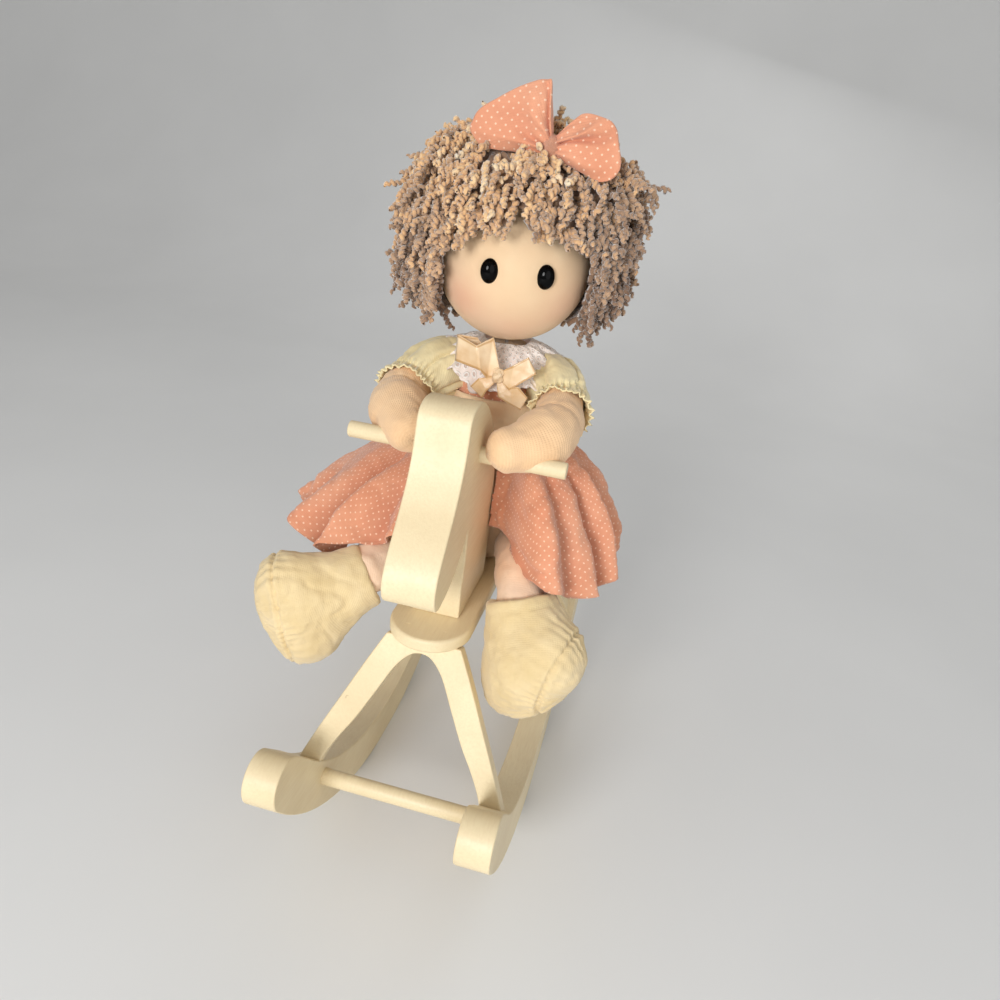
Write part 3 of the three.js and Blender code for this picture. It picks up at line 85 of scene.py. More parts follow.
HEAD = {"centre": (5, 10, 348), "radius": 43.5, "turn": 15.5}
EYE = {"width": 9.6, "height": 13, "bulge": 3.4, "spacing": 29.7}
DOLL = {"x": 5, "y": 19, "foot": 158.3, "turn": 8}
TORSO = {"width": 68, "depth": 58, "height": 142}
TORSO_SHARES = [
    (0.0, 0.5, 0.5), (0.04, 0.78, 0.74), (0.13, 0.97, 0.94), (0.28, 1.0, 1.0), (0.5, 0.97, 0.97),
    (0.68, 0.87, 0.86), (0.82, 0.83, 0.76), (0.91, 0.72, 0.62), (0.965, 0.48, 0.46), (1.0, 0.33, 0.36),
]
LEFT, RIGHT = -1, 1
SIDES = ((LEFT, "left"), (RIGHT, "right"))
ENDS = ((-1, "front"), (1, "rear"))

seat_low, seat_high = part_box("seat_board")
CENTRE_X = (seat_low.x + seat_high.x) / 2


def at(x, y, z):
    """A point in the shared frame, in metres, from its place in millimetres."""
    return Vector((CENTRE_X + x * MM, y * MM, z * MM))


def turns(count):
    """Even angles once round."""
    return [tau * i / count for i in range(count)]


# Mesh tools


@contextmanager
def opened(mesh):
    """A mesh as a bmesh, which is written back when it closes."""
    work = bmesh.new()
    work.from_mesh(mesh)
    yield work
    work.to_mesh(mesh)
    work.free()


def finish_mesh(name, points, faces, uvs=None):
    mesh = bpy.data.meshes.new(name)
    mesh.from_pydata([tuple(p) for p in points], [], faces)
    if uvs:
        layer = mesh.uv_layers.new(name="cloth")
        for loop, uv in zip(layer.data, (corner for face in uvs for corner in face)):
            loop.uv = uv
    with opened(mesh) as work:
        bmesh.ops.recalc_face_normals(work, faces=work.faces)
    for polygon in mesh.polygons:
        polygon.use_smooth = True
    piece = bpy.data.objects.new(name, mesh)
    bpy.context.scene.collection.objects.link(piece)
    return piece


def loft(name, rings, closed=True, caps=(False, False), uv=None):
    """A surface over rings of points. uv(i, j) is where ring i's point j lies on the flat cloth, in metres."""
    count = len(rings[0])
    points = [p for ring in rings for p in ring]
    faces, uvs = [], []
    place = uv or (lambda i, j: (j / count, i / len(rings)))
    for i in range(len(rings) - 1):
        for j in range(count if closed else count - 1):
            k = (j + 1) % count
            faces.append((i * count + j, i * count + k, (i + 1) * count + k, (i + 1) * count + j))
            uvs.append([place(i, j), place(i, j + 1), place(i + 1, j + 1), place(i + 1, j)])
    for wanted, i in zip(caps, (0, len(rings) - 1)):
        if wanted:
            centre = sum(rings[i], Vector()) / count
            points.append(centre)
            for j in range(count):
                k = (j + 1) % count
                faces.append((len(points) - 1, i * count + j, i * count + k))
                uvs.append([place(i, j), place(i, j), place(i, j + 1)])
    return finish_mesh(name, points, faces, uvs)


def spline(points, share):
    """What lies at a share of a smooth line through points or numbers."""
    last = len(points) - 1
    place = min(max(share, 0), 1) * last
    i = min(int(place), last - 1)
    f = place - i
    before, a, b, after = points[max(i - 1, 0)], points[i], points[i + 1], points[min(i + 2, last)]
    return (
        a * 2 + (b - before) * f + (before * 2 - a * 5 + b * 4 - after) * f**2
        + (a * 3 - before - b * 3 + after) * f**3
    ) * 0.5


def smooth_outline(shares, per_step):
    """A smooth open outline through pairs of shares."""
    line = [Vector(pair) for pair in shares]
    steps = (len(line) - 1) * per_step
    return [spline(line, i / steps) for i in range(steps + 1)]


def frames(path):
    """The points of a path with the directions along, sideways and upward at each."""
    found = []
    for i, p in enumerate(path):
        along = (path[min(i + 1, len(path) - 1)] - path[max(i - 1, 0)]).normalized()
        side = along.cross(Vector((0, 0, 1))).normalized()
        found.append((p, along, side, side.cross(along).normalized()))
    return found


def even_path(points, steps, parts=200):
    """Evenly spaced points along a smooth line, which is measured in parts."""
    fine = [spline(points, i / parts) for i in range(parts + 1)]
    far = [0.0]
    for a, b in zip(fine, fine[1:]):
        far.append(far[-1] + (b - a).length)
    made, k = [], 0
    for i in range(steps + 1):
        goal = far[-1] * i / steps
        while k < parts - 1 and far[k + 1] < goal:
            k += 1
        made.append(fine[k].lerp(fine[k + 1], (goal - far[k]) / max(far[k + 1] - far[k], 1e-9)))
    return made


def eased(values, share):
    """What lies at a share of a row of numbers, with a soft step from each to the next."""
    place = min(max(share, 0), 1) * (len(values) - 1)
    i = min(int(place), len(values) - 2)
    f = place - i
    return values[i] + (values[i + 1] - values[i]) * f * f * (3 - 2 * f)


DOME_ROWS = 9


def limb_rings(points, radii, steps, sides, dome=0.8, shape=lambda t, angle: 1.0):
    """Rings over a stuffed limb with round ends. Points in metres, radii in millimetres.
    The dome is how far an end stands out, and shape(t, angle) how wide the limb is, both as shares of the radius."""
    size = [eased(radii, i / steps) * MM for i in range(steps + 1)]
    places = frames(even_path(points, steps))

    def ring(i, out=0.0, ahead=1):
        p, along, side, upward = places[i]
        centre = p + along * ahead * size[i] * dome * out
        radius = max(size[i] * sqrt(max(0.0, 1 - out**2)), 1e-5)
        return [centre + (side * cos(a) + upward * sin(a)) * radius * shape(i / steps, a) for a in turns(sides)]

    outs = [sin(pi / 2 * k / DOME_ROWS) for k in range(1, DOME_ROWS + 1)]
    return [
        *(ring(0, out, -1) for out in reversed(outs)), *(ring(i) for i in range(steps + 1)),
        *(ring(steps, out) for out in outs),
    ]


def push_out(piece, size, shift, height, stretch=(1, 1, 1)):
    """Moves a mesh's points along their normals by height(q), where q is a point's place in a noise.
    Size and height in millimetres."""
    normals = [v.normal.copy() for v in piece.data.vertices]
    for v, n in zip(piece.data.vertices, normals):
        v.co += n * height(Vector([c * s / (size * MM) for c, s in zip(v.co, stretch)]) + shift) * MM


def wrinkle(piece, height, size, seed=0, stretch=(1, 1, 1)):
    """Moves a mesh's points in and out with noise. Height and size in millimetres."""
    shift = Vector((seed * 7.3, seed * 3.1, seed * 5.7))
    push_out(piece, size, shift, lambda q: height * noise.fractal(q, 0.7, 2.1, 3), stretch)


def crease(piece, height, size, seed):
    """Draws sharp soft folds into cloth, where a slow noise crosses zero. Height and size in millimetres."""
    shift = Vector((seed * 4.1, seed * 6.7, seed * 2.9))

    def fold(q):
        return -height * max(0.0, 1 - abs(noise.noise(q)) * 5) * (0.4 + noise.noise(q * 0.6 + shift))

    push_out(piece, size, shift, fold)


def modify(piece, kind, **settings):
    made = piece.modifiers.new(kind.lower(), kind)
    for key, value in settings.items():
        setattr(made, key, value)


def thicken(piece, thickness):
    modify(piece, "SOLIDIFY", thickness=thickness * MM, offset=-1)
    return piece


def store(piece, name, values):
    """Stores a number at each vertex, which a material reads by its name."""
    piece.data.attributes.new(name, "FLOAT", "POINT").data.foreach_set("value", values)


def store_from(piece, name, value):
    """Stores value(point) at each vertex."""
    store(piece, name, [value(v.co) for v in piece.data.vertices])


def delete_faces(piece, chosen):
    """Deletes the faces whose middle is chosen."""
    with opened(piece.data) as work:
        gone = [f for f in work.faces if chosen(f.calc_center_median())]
        bmesh.ops.delete(work, geom=gone, context="FACES")


def cloth_map(width, length, columns, rows):
    """Where each point of a loft lies on an even flat cloth of a width and length in metres."""
    return lambda i, j: (width * j / columns, length * i / rows)


def dress(piece, body, material, slot, *nodes):
    """Gives a piece its body and its material, and hides the solids that it stands for. The slot is not used."""
    piece.data.materials.clear()
    piece.data.materials.append(material)
    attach(piece, body)
    if nodes:
        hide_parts(*nodes)


# Materials

BLACK, WHITE = (0, 0, 0), (1, 1, 1)


class Shader:
    """A material's node tree with short names for the nodes used here."""

    def __init__(self, name, color, roughness, metallic=0.0, sheen=0.0, specular=0.5):
        self.material = bpy.data.materials.new(name)
        self.material.use_nodes = True
        self.nodes = self.material.node_tree.nodes
        self.links = self.material.node_tree.links
        self.main = self.nodes["Principled BSDF"]
        for key, value in (
            ("Base Color", (*color, 1)), ("Roughness", roughness), ("Metallic", metallic),
            ("Sheen Weight", sheen), ("Specular IOR Level", specular),
        ):
            self.main.inputs[key].default_value = value

    def node(self, kind, **inputs):
        made = self.nodes.new(kind)
        for key, value in inputs.items():
            self.put(made, key.replace("_", " "), value)
        return made

    def put(self, node, key, value):
        if isinstance(value, bpy.types.NodeSocket):
            self.links.new(value, node.inputs[key])
        else:
            node.inputs[key].default_value = value

    def coords(self, kind="Object", scale=(1, 1, 1), turn=(0, 0, 0), place=(0, 0, 0)):
        source = self.nodes.new("ShaderNodeTexCoord").outputs[kind]
        mapped = self.node("ShaderNodeMapping", Vector=source, Scale=scale, Rotation=turn, Location=place)
        return mapped.outputs["Vector"]

    def noise(self, scale, detail=3.0, vector=None, roughness=0.5):
        return self.node(
            "ShaderNodeTexNoise", Vector=vector or self.coords(), Scale=scale, Detail=detail, Roughness=roughness
        ).outputs["Fac"]

    def waves(self, scale, vector, distortion=0.0, direction="X"):
        made = self.node("ShaderNodeTexWave", Vector=vector, Scale=scale, Distortion=distortion)
        made.bands_direction = direction
        return made.outputs["Fac"]

    def attribute(self, name):
        made = self.nodes.new("ShaderNodeAttribute")
        made.attribute_name = name
        return made.outputs["Fac"]

    def ramp(self, value, *stops):
        made = self.node("ShaderNodeValToRGB", Fac=value)
        while len(made.color_ramp.elements) < len(stops):
            made.color_ramp.elements.new(0.5)
        for element, (place, color) in zip(made.color_ramp.elements, stops):
            element.position = place
            element.color = (*color, 1) if len(color) == 3 else color
        return made.outputs["Color"]

    def math(self, operation, a, b=0.0, kind="ShaderNodeMath", output=0):
        made = self.nodes.new(kind)
        made.operation = operation
        self.put(made, 0, a)
        self.put(made, 1, b)
        return made.outputs[output]

    def mix(self, share, a, b, amount=None):
        """Two colours mixed by a share, which an amount may lessen."""
        made = self.nodes.new("ShaderNodeMix")
        made.data_type = "RGBA"
        self.put(made, 0, self.math("MULTIPLY", share, amount) if amount else share)
        for key, value in ((6, a), (7, b)):
            self.put(made, key, (*value, 1) if isinstance(value, tuple) and len(value) == 3 else value)
        return made.outputs[2]

    def paint(self, color):
        self.put(self.main, "Base Color", color)

    def rough(self, value, amount, base):
        self.put(self.main, "Roughness", self.math("ADD", self.math("MULTIPLY", value, amount), base))

    def bump(self, height, distance, strength=1.0):
        made = self.node("ShaderNodeBump", Height=height, Distance=distance * MM, Strength=strength)
        if self.main.inputs["Normal"].is_linked:
            self.links.new(self.main.inputs["Normal"].links[0].from_socket, made.inputs["Normal"])
        self.links.new(made.outputs["Normal"], self.main.inputs["Normal"])


def srgb(red, green, blue):
    """A colour as it looks, in shares of full light, made linear."""
    return tuple(c / 12.92 if c <= 0.04045 else ((c + 0.055) / 1.055) ** 2.4 for c in (red, green, blue))


def painted_wood():
    """Cream paint with the grain showing through it, and a few worn chips."""
    s = Shader("painted_wood", srgb(0.91, 0.84, 0.69), 0.45)
    grain = s.noise(60, 6.0, s.coords(scale=(12, 1, 12)), 0.6)
    patches = s.noise(22, 3.0)
    tone = s.ramp(patches, (0.3, srgb(0.875, 0.8, 0.645)), (0.7, srgb(0.925, 0.86, 0.71)))
    streak = s.ramp(grain, (0.42, BLACK), (0.75, WHITE))
    color = s.mix(streak, tone, srgb(0.845, 0.75, 0.59), 0.4)
    chips = s.ramp(s.noise(150, 2.0), (0.77, BLACK), (0.785, WHITE))
    s.paint(s.mix(chips, color, srgb(0.68, 0.57, 0.4), 0.4))
    s.rough(grain, 0.25, 0.33)
    s.bump(grain, 0.14)
    s.bump(patches, 0.5)
    return s.material


def bare_wood():
    s = Shader("bare_wood", srgb(0.84, 0.72, 0.54), 0.6)
    grain = s.noise(90, 5.0, s.coords(scale=(1, 1, 0.1)))
    s.paint(s.ramp(grain, (0.35, srgb(0.74, 0.6, 0.42)), (0.65, srgb(0.87, 0.76, 0.59))))
    s.bump(grain, 0.1)
    return s.material


def metal(name, color, roughness):
    s = Shader(name, color, roughness, metallic=1.0)
    brushed = s.noise(500, 4.0, s.coords(scale=(1, 1, 8)))
    s.rough(brushed, 0.2, roughness - 0.1)
    s.bump(brushed, 0.02)
    return s.material


# How many bands a wave texture of scale 1 makes in a metre, turned round.
WAVE_SCALE = 0.314


def weave(s, pitch, depth, kind="Object", turn=(0, 0, 0)):
    """Crossing threads with the given pitch in millimetres."""
    vector = s.coords(kind, turn=turn)
    ways = ("X", "Z" if kind == "Object" else "Y")
    threads = s.math("ADD", *(s.waves(WAVE_SCALE / (pitch * MM), vector, 0.6, way) for way in ways))
    s.bump(threads, depth)
    return threads


def skin_cloth(name, depth, grain, color, shade):
    """Knitted skin: fine stitches along the piece's own UVs, a little mottling and a blush."""
    s = Shader(name, color, 0.85, sheen=0.25, specular=0.2)
    threads = weave(s, 1.1, depth, "UV")
    tone = s.noise(45, 4.0)
    mottled = s.ramp(tone, (0.3, shade), (0.7, color))
    dark = s.mix(threads, mottled, tuple(c * 0.66 for c in shade), grain)
    s.paint(s.mix(s.attribute("blush"), dark, srgb(0.93, 0.63, 0.5)))
    s.bump(tone, 0.4)
    return s.material


def plain_cloth(name, color, shade, pitch=0.75):
    s = Shader(name, color, 0.9, sheen=0.3, specular=0.2)
    threads = weave(s, pitch, 0.045, turn=(0.2, 0.3, 0.1))
    mottled = s.ramp(s.noise(55, 5.0), (0.32, shade), (0.68, color))
    s.paint(s.mix(threads, mottled, tuple(c * 0.7 for c in shade), 0.035))
    s.bump(s.noise(150, 4.0), 0.5)
    return s.material


DOT_PITCH, EYELET_PITCH = 0.0052, 0.0054


def dot_reach(s, pitch):
    """How far a place on the cloth lies from the nearest of its staggered dots. The pitch is in metres, the reach
    in pitches."""
    reaches = []
    for shift in (0.0, 0.5):
        moved = s.coords("UV", (1 / pitch, 1 / pitch, 0), place=(shift, shift, 0))
        cell = s.math("FRACTION", moved, (0, 0, 0), "ShaderNodeVectorMath")
        reaches.append(s.math("DISTANCE", cell, (0.5, 0.5, 0), "ShaderNodeVectorMath", "Value"))
    return s.math("MINIMUM", *reaches)


def dotted_cloth():
    """Cotton with small pale dots in staggered rows, placed by the cloth's own coordinates in metres.
    It is painted darker where a piece's fold value is high: painted shade in the folds.
    """
    s = Shader("dress_cloth", srgb(0.9, 0.65, 0.52), 0.88, sheen=0.3, specular=0.2)
    spots = s.ramp(dot_reach(s, DOT_PITCH), (0.075, WHITE), (0.115, BLACK))
    ground = s.ramp(s.noise(50, 5.0), (0.3, srgb(0.85, 0.575, 0.445)), (0.7, srgb(0.9, 0.65, 0.52)))
    woven = s.mix(weave(s, 0.7, 0.07, "UV"), ground, srgb(0.76, 0.46, 0.35), 0.07)
    # Painted shade: the cloth is darker where the fold value is high, in the folds and creases.
    fold_shaded = s.mix(s.attribute("fold"), woven, srgb(0.66, 0.4, 0.32), 0.5)
    s.paint(s.mix(spots, fold_shaded, srgb(0.99, 0.89, 0.79), 0.62))
    s.bump(s.noise(160, 4.0), 0.35)
    return s.material


def satin():
    """Glossy ribbon with fine ribs and a golden thread along each edge."""
    s = Shader("satin_ribbon", srgb(0.9, 0.77, 0.6), 0.24, sheen=0.2, specular=0.7)
    ribs = s.waves(WAVE_SCALE / (0.6 * MM), s.coords("UV"), 0.3)
    woven = s.ramp(s.noise(80, 3.0), (0.3, srgb(0.86, 0.71, 0.52)), (0.72, srgb(0.96, 0.87, 0.73)))
    s.paint(s.mix(s.attribute("edge"), woven, srgb(0.74, 0.55, 0.3)))
    s.main.inputs["Anisotropic"].default_value = 0.5
    s.bump(ribs, 0.03)
    return s.material


def lace():
    """White cotton with stitched eyelets, which lie in rows."""
    s = Shader("lace_cloth", srgb(0.965, 0.925, 0.895), 0.9, sheen=0.3, specular=0.2)
    reach = dot_reach(s, EYELET_PITCH)
    rims = s.ramp(reach, (0.12, BLACK), (0.17, WHITE), (0.22, WHITE), (0.28, BLACK))
    holes = s.ramp(reach, (0.1, WHITE), (0.14, BLACK))
    tone = s.ramp(s.noise(70, 4.0), (0.3, srgb(0.945, 0.885, 0.85)), (0.7, srgb(0.98, 0.95, 0.925)))
    stitched = s.mix(rims, tone, srgb(0.99, 0.975, 0.955))
    s.paint(s.mix(holes, stitched, srgb(0.72, 0.6, 0.53), 0.5))
    s.bump(rims, 0.35)
    s.bump(s.noise(140, 3.0), 0.4)
    return s.material


# The yarn's colours from the darkest tone to the palest.
YARN_RAMP = [
    (0.0, (0.4, 0.3, 0.24)), (0.25, (0.6, 0.485, 0.395)), (0.45, (0.75, 0.615, 0.49)),
    (0.62, (0.87, 0.69, 0.5)), (0.8, (0.94, 0.79, 0.59)), (1.0, (0.97, 0.91, 0.79)),
]


def yarn():
    """Curled yarn: each lock has its own tone, paler to its tip, under a fine fuzz. The tones also carry
    painted light and shade: paler locks on top of the head, darker ones at its sides and on the cap under them.
    """
    s = Shader("yarn", srgb(0.7, 0.6, 0.5), 0.95, sheen=0.8, specular=0.1)
    strand = s.ramp(s.attribute("tone"), *((place, srgb(*color)) for place, color in YARN_RAMP))
    fuzz = s.noise(520, 4.0)
    s.paint(s.mix(fuzz, strand, srgb(0.6, 0.48, 0.38), 0.24))
    s.bump(fuzz, 0.8)
    return s.material


def glossy_black():
    s = Shader("eye_plastic", srgb(0.015, 0.015, 0.016), 0.08, specular=0.1)
    s.rough(s.noise(300), 0.03, 0.06)
    return s.material


def moulded_plastic():
    s = Shader("washer_plastic", srgb(0.9, 0.89, 0.86), 0.45)
    s.bump(s.noise(400), 0.05)
    return s.material


WOOD = painted_wood()
BEECH = bare_wood()
STEEL = metal("steel", (0.55, 0.55, 0.56), 0.32)
BRASS = metal("brass", (0.72, 0.48, 0.16), 0.3)
SKIN = skin_cloth("skin_cloth", 0.09, 0.07, srgb(0.945, 0.805, 0.64), srgb(0.92, 0.76, 0.585))
# The face's cloth is a finer knit, and its colours are painted lighter than the other skin: painted light on the face.
LIT_FACE_SKIN = skin_cloth("lit_face_cloth", 0.05, 0.035, srgb(0.985, 0.87, 0.715), srgb(0.965, 0.83, 0.665))
SOCK = plain_cloth("sock_cloth", srgb(0.97, 0.855, 0.75), srgb(0.95, 0.8, 0.67))
MUSLIN = plain_cloth("muslin_cloth", srgb(0.955, 0.905, 0.735), srgb(0.92, 0.855, 0.665))
BOOT_MUSLIN = plain_cloth("boot_muslin", srgb(0.89, 0.805, 0.635), srgb(0.855, 0.76, 0.57), 0.85)
PEACH = plain_cloth("peach_cloth", srgb(0.975, 0.87, 0.72), srgb(0.94, 0.8, 0.64))
DRESS = dotted_cloth()
SATIN = satin()
LACE = lace()
YARN = yarn()
GLOSS = glossy_black()
MOULDED = moulded_plastic()


# The painted frame


def board(name, outline, thickness, basis, bevel, node):
    """A painted board: an outline drawn out both ways to a thickness and rounded on its edges. basis puts it in
    its place."""
    half = thickness / 2 * MM
    count = len(outline)
    low, high = ([basis @ Vector((u * MM, v * MM, z)) for u, v in outline] for z in (-half, half))
    faces = [tuple(range(count)), tuple(range(2 * count - 1, count - 1, -1))]
    faces += [(i, (i + 1) % count, count + (i + 1) % count, count + i) for i in range(count)]
    piece = finish_mesh(name, low + high, faces)
    modify(piece, "BEVEL", width=bevel * MM, segments=3, limit_method="ANGLE", angle_limit=radians(38))
    modify(piece, "WEIGHTED_NORMAL", keep_sharp=True)
    dress(piece, "root", WOOD, "painted_wood", node)


def standing(x):
    """An outline's own axes as -Y and Z of the shared frame: a board that stands along the object."""
    return Matrix.Translation(at(x, 0, 0)) @ Matrix(((0, 0, 1), (-1, 0, 0), (0, 1, 0))).to_4x4()


def rocker_outline():
    radius, nose_radius, top_radius = ROCKER["radius"], ROCKER["nose_radius"], ROCKER["top_radius"]
    steps = ROCKER["steps"]
    flat = asin(ROCKER["flat"] / 2 / radius)
    nose, top = radians(ROCKER["nose_angle"]), radians(ROCKER["top_angle"])
    reach = radius - nose_radius

    def arc(middle, radius, angles):
        return [(middle[0] + radius * sin(a), middle[1] - radius * cos(a)) for a in angles]

    base = (0, radius * cos(flat))
    knob = (reach * sin(nose), base[1] - reach * cos(nose))
    half = arc(base, radius, [flat + (nose - flat) * i / (steps - 1) for i in range(steps)])
    half += arc(knob, nose_radius, [nose + pi * i / steps for i in range(1, steps)])
    half += arc(
        (0, ROCKER["rise"] + top_radius), top_radius, [top * (1 - (i + 0.5) / steps) for i in range(steps)]
    )
    return half + [(-y, z) for y, z in reversed(half)]


def build_rockers():
    for _, name in SIDES:
        low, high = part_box("rocker_" + name)
        place = standing(((low.x + high.x) / 2 - CENTRE_X) / MM)
        board("painted_rocker_" + name, rocker_outline(), (high.x - low.x) / MM, place, 0.9, "rocker_" + name)


def build_horse_head():
    def shape(shares):
        return [
            (-(HORSE["front"] + HORSE["length"] * f), SEAT["top"] + GAP + HORSE["height"] * u) for f, u in shares
        ]

    outline = shape(smooth_outline(HORSE_OUTLINE_SHARES, 3)) + shape(HORSE_SLOT_SHARES)
    board("painted_horse_head", outline, HORSE["thickness"], standing(0), 1.0, "horse_head")


def build_seat():
    radius = SEAT["width"] / 2
    centre = SEAT["half_length"] - radius
    end = [(radius * cos(a), centre + radius * sin(a)) for a in [pi * i / 28 for i in range(29)]]
    thickness = SEAT["thickness"] + PAINT
    basis = Matrix.Translation(at(0, 0, SEAT["top"] + PAINT - thickness / 2))
    board("painted_seat", end + [(-x, -y) for x, y in end], thickness, basis, 2.0, "seat_board")


def build_legs():
    spread = LEG["foot_out"] - LEG["top_half"]
    lowest = -LEG["trim"] * 1.4
    outer = [(LEG["top_half"] + spread * o, -LEG["length"] * d) for o, d in smooth_outline(LEG_OUTER_SHARES, 4)]
    inner = [(LEG["foot_in"] * o, -LEG["length"] * d) for o, d in smooth_outline(LEG_INNER_SHARES, 4)]
    half = [p for p in outer + inner if p[1] > lowest]
    outline = half[:-1] + [(-x, z) for x, z in reversed(half)]
    upright = Matrix(((1, 0, 0), (0, 0, -1), (0, 1, 0))).to_4x4()
    for end, name in ENDS:
        slope = Matrix.Rotation(radians(end * LEG["slope"]), 4, "X")
        place = at(0, end * (SEAT["half_length"] - LEG["set_in"]), SEAT["top"] - SEAT["thickness"] - GAP)
        basis = Matrix.Translation(place) @ slope @ upright
        board("painted_legs_" + name, outline, LEG["thickness"], basis, 0.9, name + "_legs")


def build_bar(name, half, y, height, radius, bevel, node):
    """A round painted bar across the object, with its ends rounded a little."""
    start, end = at(-half, y, height), at(half, y, height)
    along = (end - start).normalized()
    side = along.orthogonal().normalized()
    up = along.cross(side)
    ring = [side * cos(a) + up * sin(a) for a in turns(40)]
    stops = [(0.0, -bevel), (bevel * 0.3, -bevel * 0.3), (bevel, 0.0)]
    stops += [(2 * half - d, shrink) for d, shrink in reversed(stops)]
    rings = [[start + along * d * MM + r * (radius + shrink) * MM for r in ring] for d, shrink in stops]
    dress(loft(name, rings, caps=(True, True)), "root", WOOD, "painted_wood", node)


def build_bars():
    for end, name in ENDS:
        build_bar(
            "painted_crossbar_" + name, CROSSBAR["half"], end * CROSSBAR["reach"], CROSSBAR["height"],
            CROSSBAR["radius"], 0.4, name + "_crossbar",
        )
    build_bar(
        "painted_handlebar", HANDLEBAR["half_length"], HANDLEBAR["y"], HANDLEBAR["height"],
        HANDLEBAR["radius"], 0.7, "handlebar",
    )


# The doll's stuffed pieces

HEAD_CENTRE = at(*HEAD["centre"])
FACE_TURN = Matrix.Rotation(radians(HEAD["turn"]), 4, "Z")
DOLL_TURN = Matrix.Rotation(radians(DOLL["turn"]), 4, "Z")


def face_point(x, y, z):
    """A point given from the middle of the head in millimetres, with -Y straight out of the face."""
    return HEAD_CENTRE + FACE_TURN @ (Vector((x, y, z)) * MM)


def from_face(point):
    """A point as millimetres from the middle of the head, with -Y straight out of the face."""
    return FACE_TURN.inverted() @ (point - HEAD_CENTRE) / MM


def direction_rings(columns, rows, share=1.0):
    """Rings of directions from the top down, to a share of the way to the bottom."""
    rings = []
    for i in range(rows + 1):
        polar = pi * min(max(share * i / rows, 0.004), 0.996)
        rings.append([Vector((sin(polar) * cos(a), sin(polar) * sin(a), cos(polar))) for a in turns(columns)])
    return rings


def ball(name, centre, radii, columns=40, rows=28):
    rings = direction_rings(columns, rows)
    rings = [[centre + Vector([c * r * MM for c, r in zip(d, radii)]) for d in ring] for ring in rings]
    return loft(name, rings, caps=(True, True))


# Each patch of blush: its middle from the middle of the head, and its strength.
BLUSHES = [((-27, -26, -17), 0.5), ((27, -26, -17), 0.38), ((0, -30, -34), 0.3)]
BLUSH_SIZE, MOST_BLUSH = 15, 0.6
# The dent that each eye pulls into the head.
DENT = {"depth": 1.1, "size": 7.5}


def blush(point):
    q = from_face(point)
    return min(MOST_BLUSH, sum(s * exp(-((q - Vector(c)).length / BLUSH_SIZE) ** 2) for c, s in BLUSHES))


def build_head():
    radius = HEAD["radius"]
    piece = ball("stuffed_head", HEAD_CENTRE, (radius, radius, radius), 96, 64)
    for side in (LEFT, RIGHT):
        dent = face_point(side * EYE["spacing"] / 2, -radius + 2, 0)
        for v in piece.data.vertices:
            push = exp(-(((v.co - dent).length / MM) / DENT["size"]) ** 2)
            v.co -= (v.co - HEAD_CENTRE).normalized() * DENT["depth"] * MM * push
    wrinkle(piece, 0.35, 30, 3)
    store_from(piece, "blush", blush)
    dress(piece, "head", LIT_FACE_SKIN, "skin_cloth", "head")
    for side, name in SIDES:
        x = side * EYE["spacing"] / 2
        centre = face_point(x, -sqrt(radius**2 - x**2) + 0.6, 0)
        eye = ball("glossy_eye_" + name, centre, (EYE["width"] / 2, EYE["bulge"], EYE["height"] / 2))
        eye.data.transform(Matrix.Translation(centre) @ FACE_TURN @ Matrix.Translation(-centre))
        dress(eye, "head", GLOSS, "eye_plastic", "eye_" + name)


ARM_PATHS = {
    LEFT: [(-22, 19, 283), (-39, -3.2, 277), (-44.4, -28.6, 268), (-34.5, -49.3, 264.5), (-27.5, -60.4, 262.5)],
    RIGHT: [(32, 19, 283), (45, -4.8, 277), (48, -30.2, 270), (40.5, -50, 265), (28, -61, 262.5)],
}
ARM_RADII = [11, 13, 15, 17, 12.5]
# Where along the arm its elbow and wrist lie, as shares, and its cloth's size in metres.
ARM = {"elbow": 0.42, "wrist": 0.6, "steps": 64, "sides": 72, "around": tau * 15 * MM, "length": 0.11}


def build_arms():
    for side, name in SIDES:
        def shape(t, angle):
            outer = max(0.0, side * cos(angle))
            bend = 0.1 * max(0.0, -side * cos(angle)) * exp(-(((t - ARM["elbow"]) / 0.08) ** 2))
            off = t - ARM["wrist"]
            drawn = (0.05 + 0.05 * outer) * exp(-((off / 0.022) ** 2))
            tucks = 0.025 * cos(15 * angle) * exp(-((off / 0.07) ** 2)) * (0.4 + outer)
            return 1 - bend - drawn + tucks

        steps, sides = ARM["steps"], ARM["sides"]
        path = [at(*p) for p in ARM_PATHS[side]]
        rings = limb_rings(path, ARM_RADII, steps, sides, 0.92, shape)
        cloth = cloth_map(ARM["around"], ARM["length"], sides, steps + 2 * DOME_ROWS)
        piece = loft("stuffed_arm_" + name, rings, caps=(True, True), uv=cloth)
        wrinkle(piece, 1.0, 17, 5 + side)
        wrinkle(piece, 0.3, 5, 8 + side)
        store_from(piece, "blush", lambda p: 0.0)
        dress(piece, "root", SKIN, "skin_cloth", "arm_" + name)


BAND_SIDES = 96


def torso_ring(height, wide, deep, sides, out=lambda angle: 0.0):
    """A ring round the torso at a height above the seat in millimetres, standing out by out(angle)."""
    foot = at(DOLL["x"], DOLL["y"], DOLL["foot"] + height)
    across, ahead = TORSO["width"] / 2 * wide, TORSO["depth"] / 2 * deep
    return [
        foot + DOLL_TURN @ Vector(((across + out(a)) * cos(a) * MM, (ahead + out(a)) * sin(a) * MM, 0))
        for a in turns(sides)
    ]


def build_torso():
    rows = [spline([Vector(row) for row in TORSO_SHARES], i / 40) for i in range(41)]
    rings = [torso_ring(TORSO["height"] * up, wide, deep, 48) for up, wide, deep in rows]
    piece = loft("stuffed_torso", rings, caps=(True, True))
    store_from(piece, "blush", lambda p: 0.0)
    dress(piece, "root", SKIN, "skin_cloth", "torso")


